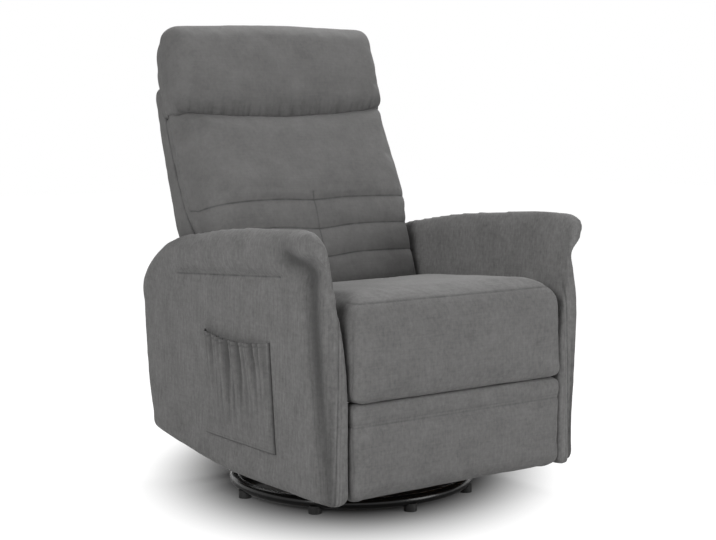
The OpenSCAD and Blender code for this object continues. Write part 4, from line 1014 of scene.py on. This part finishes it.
# %% Place, cloth and body
for job in jobs:
    piece, spots = job["piece"], places(job["piece"])
    if job.get("leaning"):
        depth, rise = spots[:, 1].copy(), spots[:, 2].copy()
        spots[:, 1] = HINGE[0] + depth * math.cos(LEAN) + rise * math.sin(LEAN)
        spots[:, 2] = HINGE[1] - depth * math.sin(LEAN) + rise * math.cos(LEAN)
    spots[:, 1] += SWIVEL_Y / MM
    put(piece, spots)
    piece.data.materials.clear()
    piece.data.materials.append({"back": BACK_CLOTH, "chair": SIDE_CLOTH}.get(job["body"], SEAT_CLOTH))
    alone(piece)
    bpy.ops.object.shade_smooth()
    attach(piece, job["body"])
    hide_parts(*job["nodes"])
print("covers placed")

# %% [markdown]
# ## The side pocket
#
# A pouch of the same cloth, sewn on at its sides and along the bottom, and gathered along its top by
# an elastic hem. The gathers start as many small pleats at the hem and run together into a few long
# folds that fade towards the bottom. It is a sheet, so it is drawn as one and then given thickness.

# %% Side pocket
POCKET_BACK, POCKET_WIDE, POCKET_LOW, POCKET_TALL = 84.0, 274.0, 158.0, 240.0
POCKET_SPREAD = 20.0
POCKET_SAG = 11.0
HEM_SHARE = 0.965
# Each pleat: place across from the rear edge, half width, height at the hem, share of the way down
pleats = (
    (0.07, 0.018, 3.0, 0.35), (0.14, 0.02, 4.5, 0.55), (0.22, 0.018, 3.5, 0.3), (0.30, 0.024, 6.0, 0.75),
    (0.39, 0.026, 9.5, 0.98), (0.47, 0.016, 5.0, 0.35), (0.56, 0.026, 9.5, 0.9), (0.635, 0.016, 5.0, 0.4),
    (0.71, 0.018, 5.5, 0.5), (0.775, 0.022, 7.5, 0.8), (0.86, 0.018, 5.0, 0.4), (0.93, 0.018, 5.0, 0.7),
)

alone()
bpy.ops.mesh.primitive_grid_add(x_subdivisions=190, y_subdivisions=120, size=2)
pocket = bpy.context.object
pocket.name = pocket.data.name = "side_pocket_cloth"
pocket.data.uv_layers.remove(pocket.data.uv_layers[0])
grid = places(pocket) * MM
u, v = (grid[:, 0] + 1) / 2, (grid[:, 1] + 1) / 2
u_edge = np.minimum(u, 1 - u)
sides = 1 - np.exp(-u_edge / 0.035)
body = 3.5 + 8.5 * (1 - np.exp(-v / 0.16)) * (0.55 + 0.45 * v)
stand, ridge, near = np.zeros(len(u)), np.zeros(len(u)), np.zeros(len(u))
for place, wide, high, reach in pleats:
    centre = place + 0.012 * np.sin(3.1 * v + 9 * place)
    spread = 0.8 * wide * (1 + 1.3 * (1 - v))
    length = fade(v, 1 - reach, 1.02) ** 0.8
    fold = np.exp(-np.abs((u - centre) / spread) ** 1.4)
    stand += 2.0 * high * length * fold
    ridge = np.maximum(ridge, fold)
    near = np.maximum(near, length * np.exp(-(((u - centre) / spread / 3) ** 2)) * high / 9.5)
# Painted shade in the furrows between the pleats
furrow_painted_shade = np.minimum(1.3 * (1 - ridge) ** 1.5 * np.sqrt(near), 1)
stand -= 4.0 * fade(v, 0.2, 0.9)
stand += 0.5 * ripple(u * 288, 9, 3) * fade(v, 0.7, 0.95)
hem = fade(v, HEM_SHARE - 0.006, HEM_SHARE + 0.004)
groove = np.exp(-(((v - HEM_SHARE) * POCKET_TALL / 2.0) ** 2))
out = 1.0 + sides * np.maximum(body + stand + 0.9 * hem - 1.1 * groove, 1.5)
out += 0.7 * lumps(np.column_stack([u * 288, v * 236, 0 * u]), 60, 21) * sides
sag = POCKET_SAG * np.sin(math.pi * u) ** 0.9
high = POCKET_LOW + POCKET_TALL - sag
gather = 0.8 * ripple(u * 288, 12, 8) * fade(v, 0.9, 1)
pocket_y = POCKET_BACK - (POCKET_WIDE + POCKET_SPREAD * (1 - v)) * u + SWIVEL_Y / MM
pocket_z = POCKET_LOW + (high - POCKET_LOW) * v + gather
arm_mesh = arms[0]["piece"].data
side_wall = BVHTree.FromPolygons([tuple(corner.co) for corner in arm_mesh.vertices],
                                 [tuple(face.vertices) for face in arm_mesh.polygons])
wall = np.array([side_wall.ray_cast(Vector((-0.5, y * MM, z * MM)), Vector((1, 0, 0)))[0].x / MM
                 for y, z in zip(pocket_y, pocket_z)])
put(pocket, np.column_stack([wall - 0.9 - out, pocket_y, pocket_z]))
mark = pocket.data.attributes.new("seam", "FLOAT", "POINT")
edge_mm = np.minimum(u_edge * POCKET_WIDE, v * POCKET_TALL)
stitches_and_painted_shade = np.maximum(np.exp(-((edge_mm / 1.8) ** 2)), 0.3 * np.exp(-(((edge_mm - 7) / 1.3) ** 2)))
# Painted shadow along the front edge, where the pouch stands proud
stitches_and_painted_shade = np.maximum(stitches_and_painted_shade, np.exp(-(((1 - u) * POCKET_WIDE / 4.5) ** 2)))
# Painted shade in the hem's groove and between the pleats
stitches_and_painted_shade = np.maximum(stitches_and_painted_shade, np.maximum(0.55 * groove, furrow_painted_shade * sides))
mark.data.foreach_set("value", stitches_and_painted_shade.astype(np.float32))
in_edit(pocket)
bpy.ops.mesh.normals_make_consistent(inside=False)
bpy.ops.object.mode_set(mode="OBJECT")
if outward(pocket)[:, 0].mean() > 0:
    in_edit(pocket)
    bpy.ops.mesh.flip_normals()
    bpy.ops.object.mode_set(mode="OBJECT")
finish_modifier(pocket, "SOLIDIFY", thickness=1.8 * MM, offset=-1)
alone(pocket)
bpy.ops.object.shade_smooth()
pocket.data.materials.append(SIDE_CLOTH)
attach(pocket, "chair")
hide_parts("side_pocket")

# %% [markdown]
# ## The floor, the lamps and the white beyond
#
# The floor is a pale sheet. Seen directly it carries a painted shadow: its colour is dark below the
# chair and it glows to pure white outside an oval around the ring, which gives the soft shadow its
# shape, while the chair sees a floor of ordinary paper white. The lamps are wide, so that shadows
# have soft edges: the key from the left, one overhead from behind and a low one from the front right.

# %% Floor
alone()
bpy.ops.mesh.primitive_grid_add(x_subdivisions=12, y_subdivisions=12, size=24, location=(0, 0, 0))
floor = bpy.context.object
floor.name = floor.data.name = "floor"
recipe = Recipe("paper_floor_with_painted_shadow")
seen = recipe.node("ShaderNodeLightPath", output="Is Camera Ray")
oval = {0: recipe.place(turn=(0, 0, -0.918)), 1: (0.824, 1.214, 1), 2: (-0.163, 0.002, 0)}
spread = recipe.node("ShaderNodeVectorMath", {"operation": "MULTIPLY_ADD"}, oval, "Vector")
away = recipe.node("ShaderNodeVectorMath", {"operation": "LENGTH"}, {0: spread}, "Value")
beyond = recipe.node("ShaderNodeMapRange", {"interpolation_type": "SMOOTHSTEP"},
                     {"Value": away, "From Min": 0.358, "From Max": 0.688})
glow = recipe.blend(seen, grey(0.0), recipe.blend(beyond, grey(0.0), grey(1.0)))
# Painted shadow: seen directly the floor's colour is dark, and the glow whitens it only outside the oval
floor.data.materials.append(recipe.finish(
    Base_Color=recipe.blend(seen, grey(0.72), grey(0.17)), Roughness=0.95, Specular_IOR_Level=0.0,
    Emission_Color=glow, Emission_Strength=1.0,
    Normal=recipe.bump(recipe.noise(3 * MM, 2.0), 0.05, 0.1 * MM)))
floor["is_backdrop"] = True

# %% Lamps and world
TARGET = Vector((0, 0, 0.5))


def lamp(name, place, wide, power):
    data = bpy.data.lights.new(name, "AREA")
    data.shape = "DISK"
    data.size = wide
    data.energy = power
    made = bpy.data.objects.new(name, data)
    made.location = place
    made.rotation_euler = (TARGET - Vector(place)).to_track_quat("-Z", "Y").to_euler()
    scene.collection.objects.link(made)


lamp("top_lamp", (1.0, 0.95, 3.1), 2.0, 67)
lamp("key_lamp", (-4.1, -2.2, 2.3), 2.6, 127)
lamp("side_lamp", (2.1, -3.5, 1.1), 2.2, 61)

world = bpy.data.worlds.new("studio_world")
scene.world = world
world.use_nodes = True
net = world.node_tree
net.nodes.clear()
path = net.nodes.new("ShaderNodeLightPath")
most = net.nodes.new("ShaderNodeMath")
most.operation = "MAXIMUM"
net.links.new(path.outputs["Is Camera Ray"], most.inputs[0])
net.links.new(path.outputs["Is Glossy Ray"], most.inputs[1])
clear = net.nodes.new("ShaderNodeMath")
clear.operation = "MAXIMUM"
net.links.new(most.outputs[0], clear.inputs[0])
net.links.new(path.outputs["Is Transmission Ray"], clear.inputs[1])
level = net.nodes.new("ShaderNodeMapRange")
level.inputs["To Min"].default_value = 0.12
level.inputs["To Max"].default_value = 1.0
net.links.new(clear.outputs[0], level.inputs["Value"])
sky = net.nodes.new("ShaderNodeBackground")
sky.inputs["Color"].default_value = (1, 1, 1, 1)
net.links.new(level.outputs[0], sky.inputs["Strength"])
end = net.nodes.new("ShaderNodeOutputWorld")
net.links.new(sky.outputs[0], end.inputs["Surface"])
scene.view_settings.view_transform = "Standard"
print("lamps set")

# %% [markdown]
# ## Measuring up
#
# The dressed chair has to stay the size of its frame, so the box of the dressed chair is printed.

# %% Sizes and the end
low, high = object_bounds()
print("dressed box:", [round(v, 3) for v in (*low, *high)])
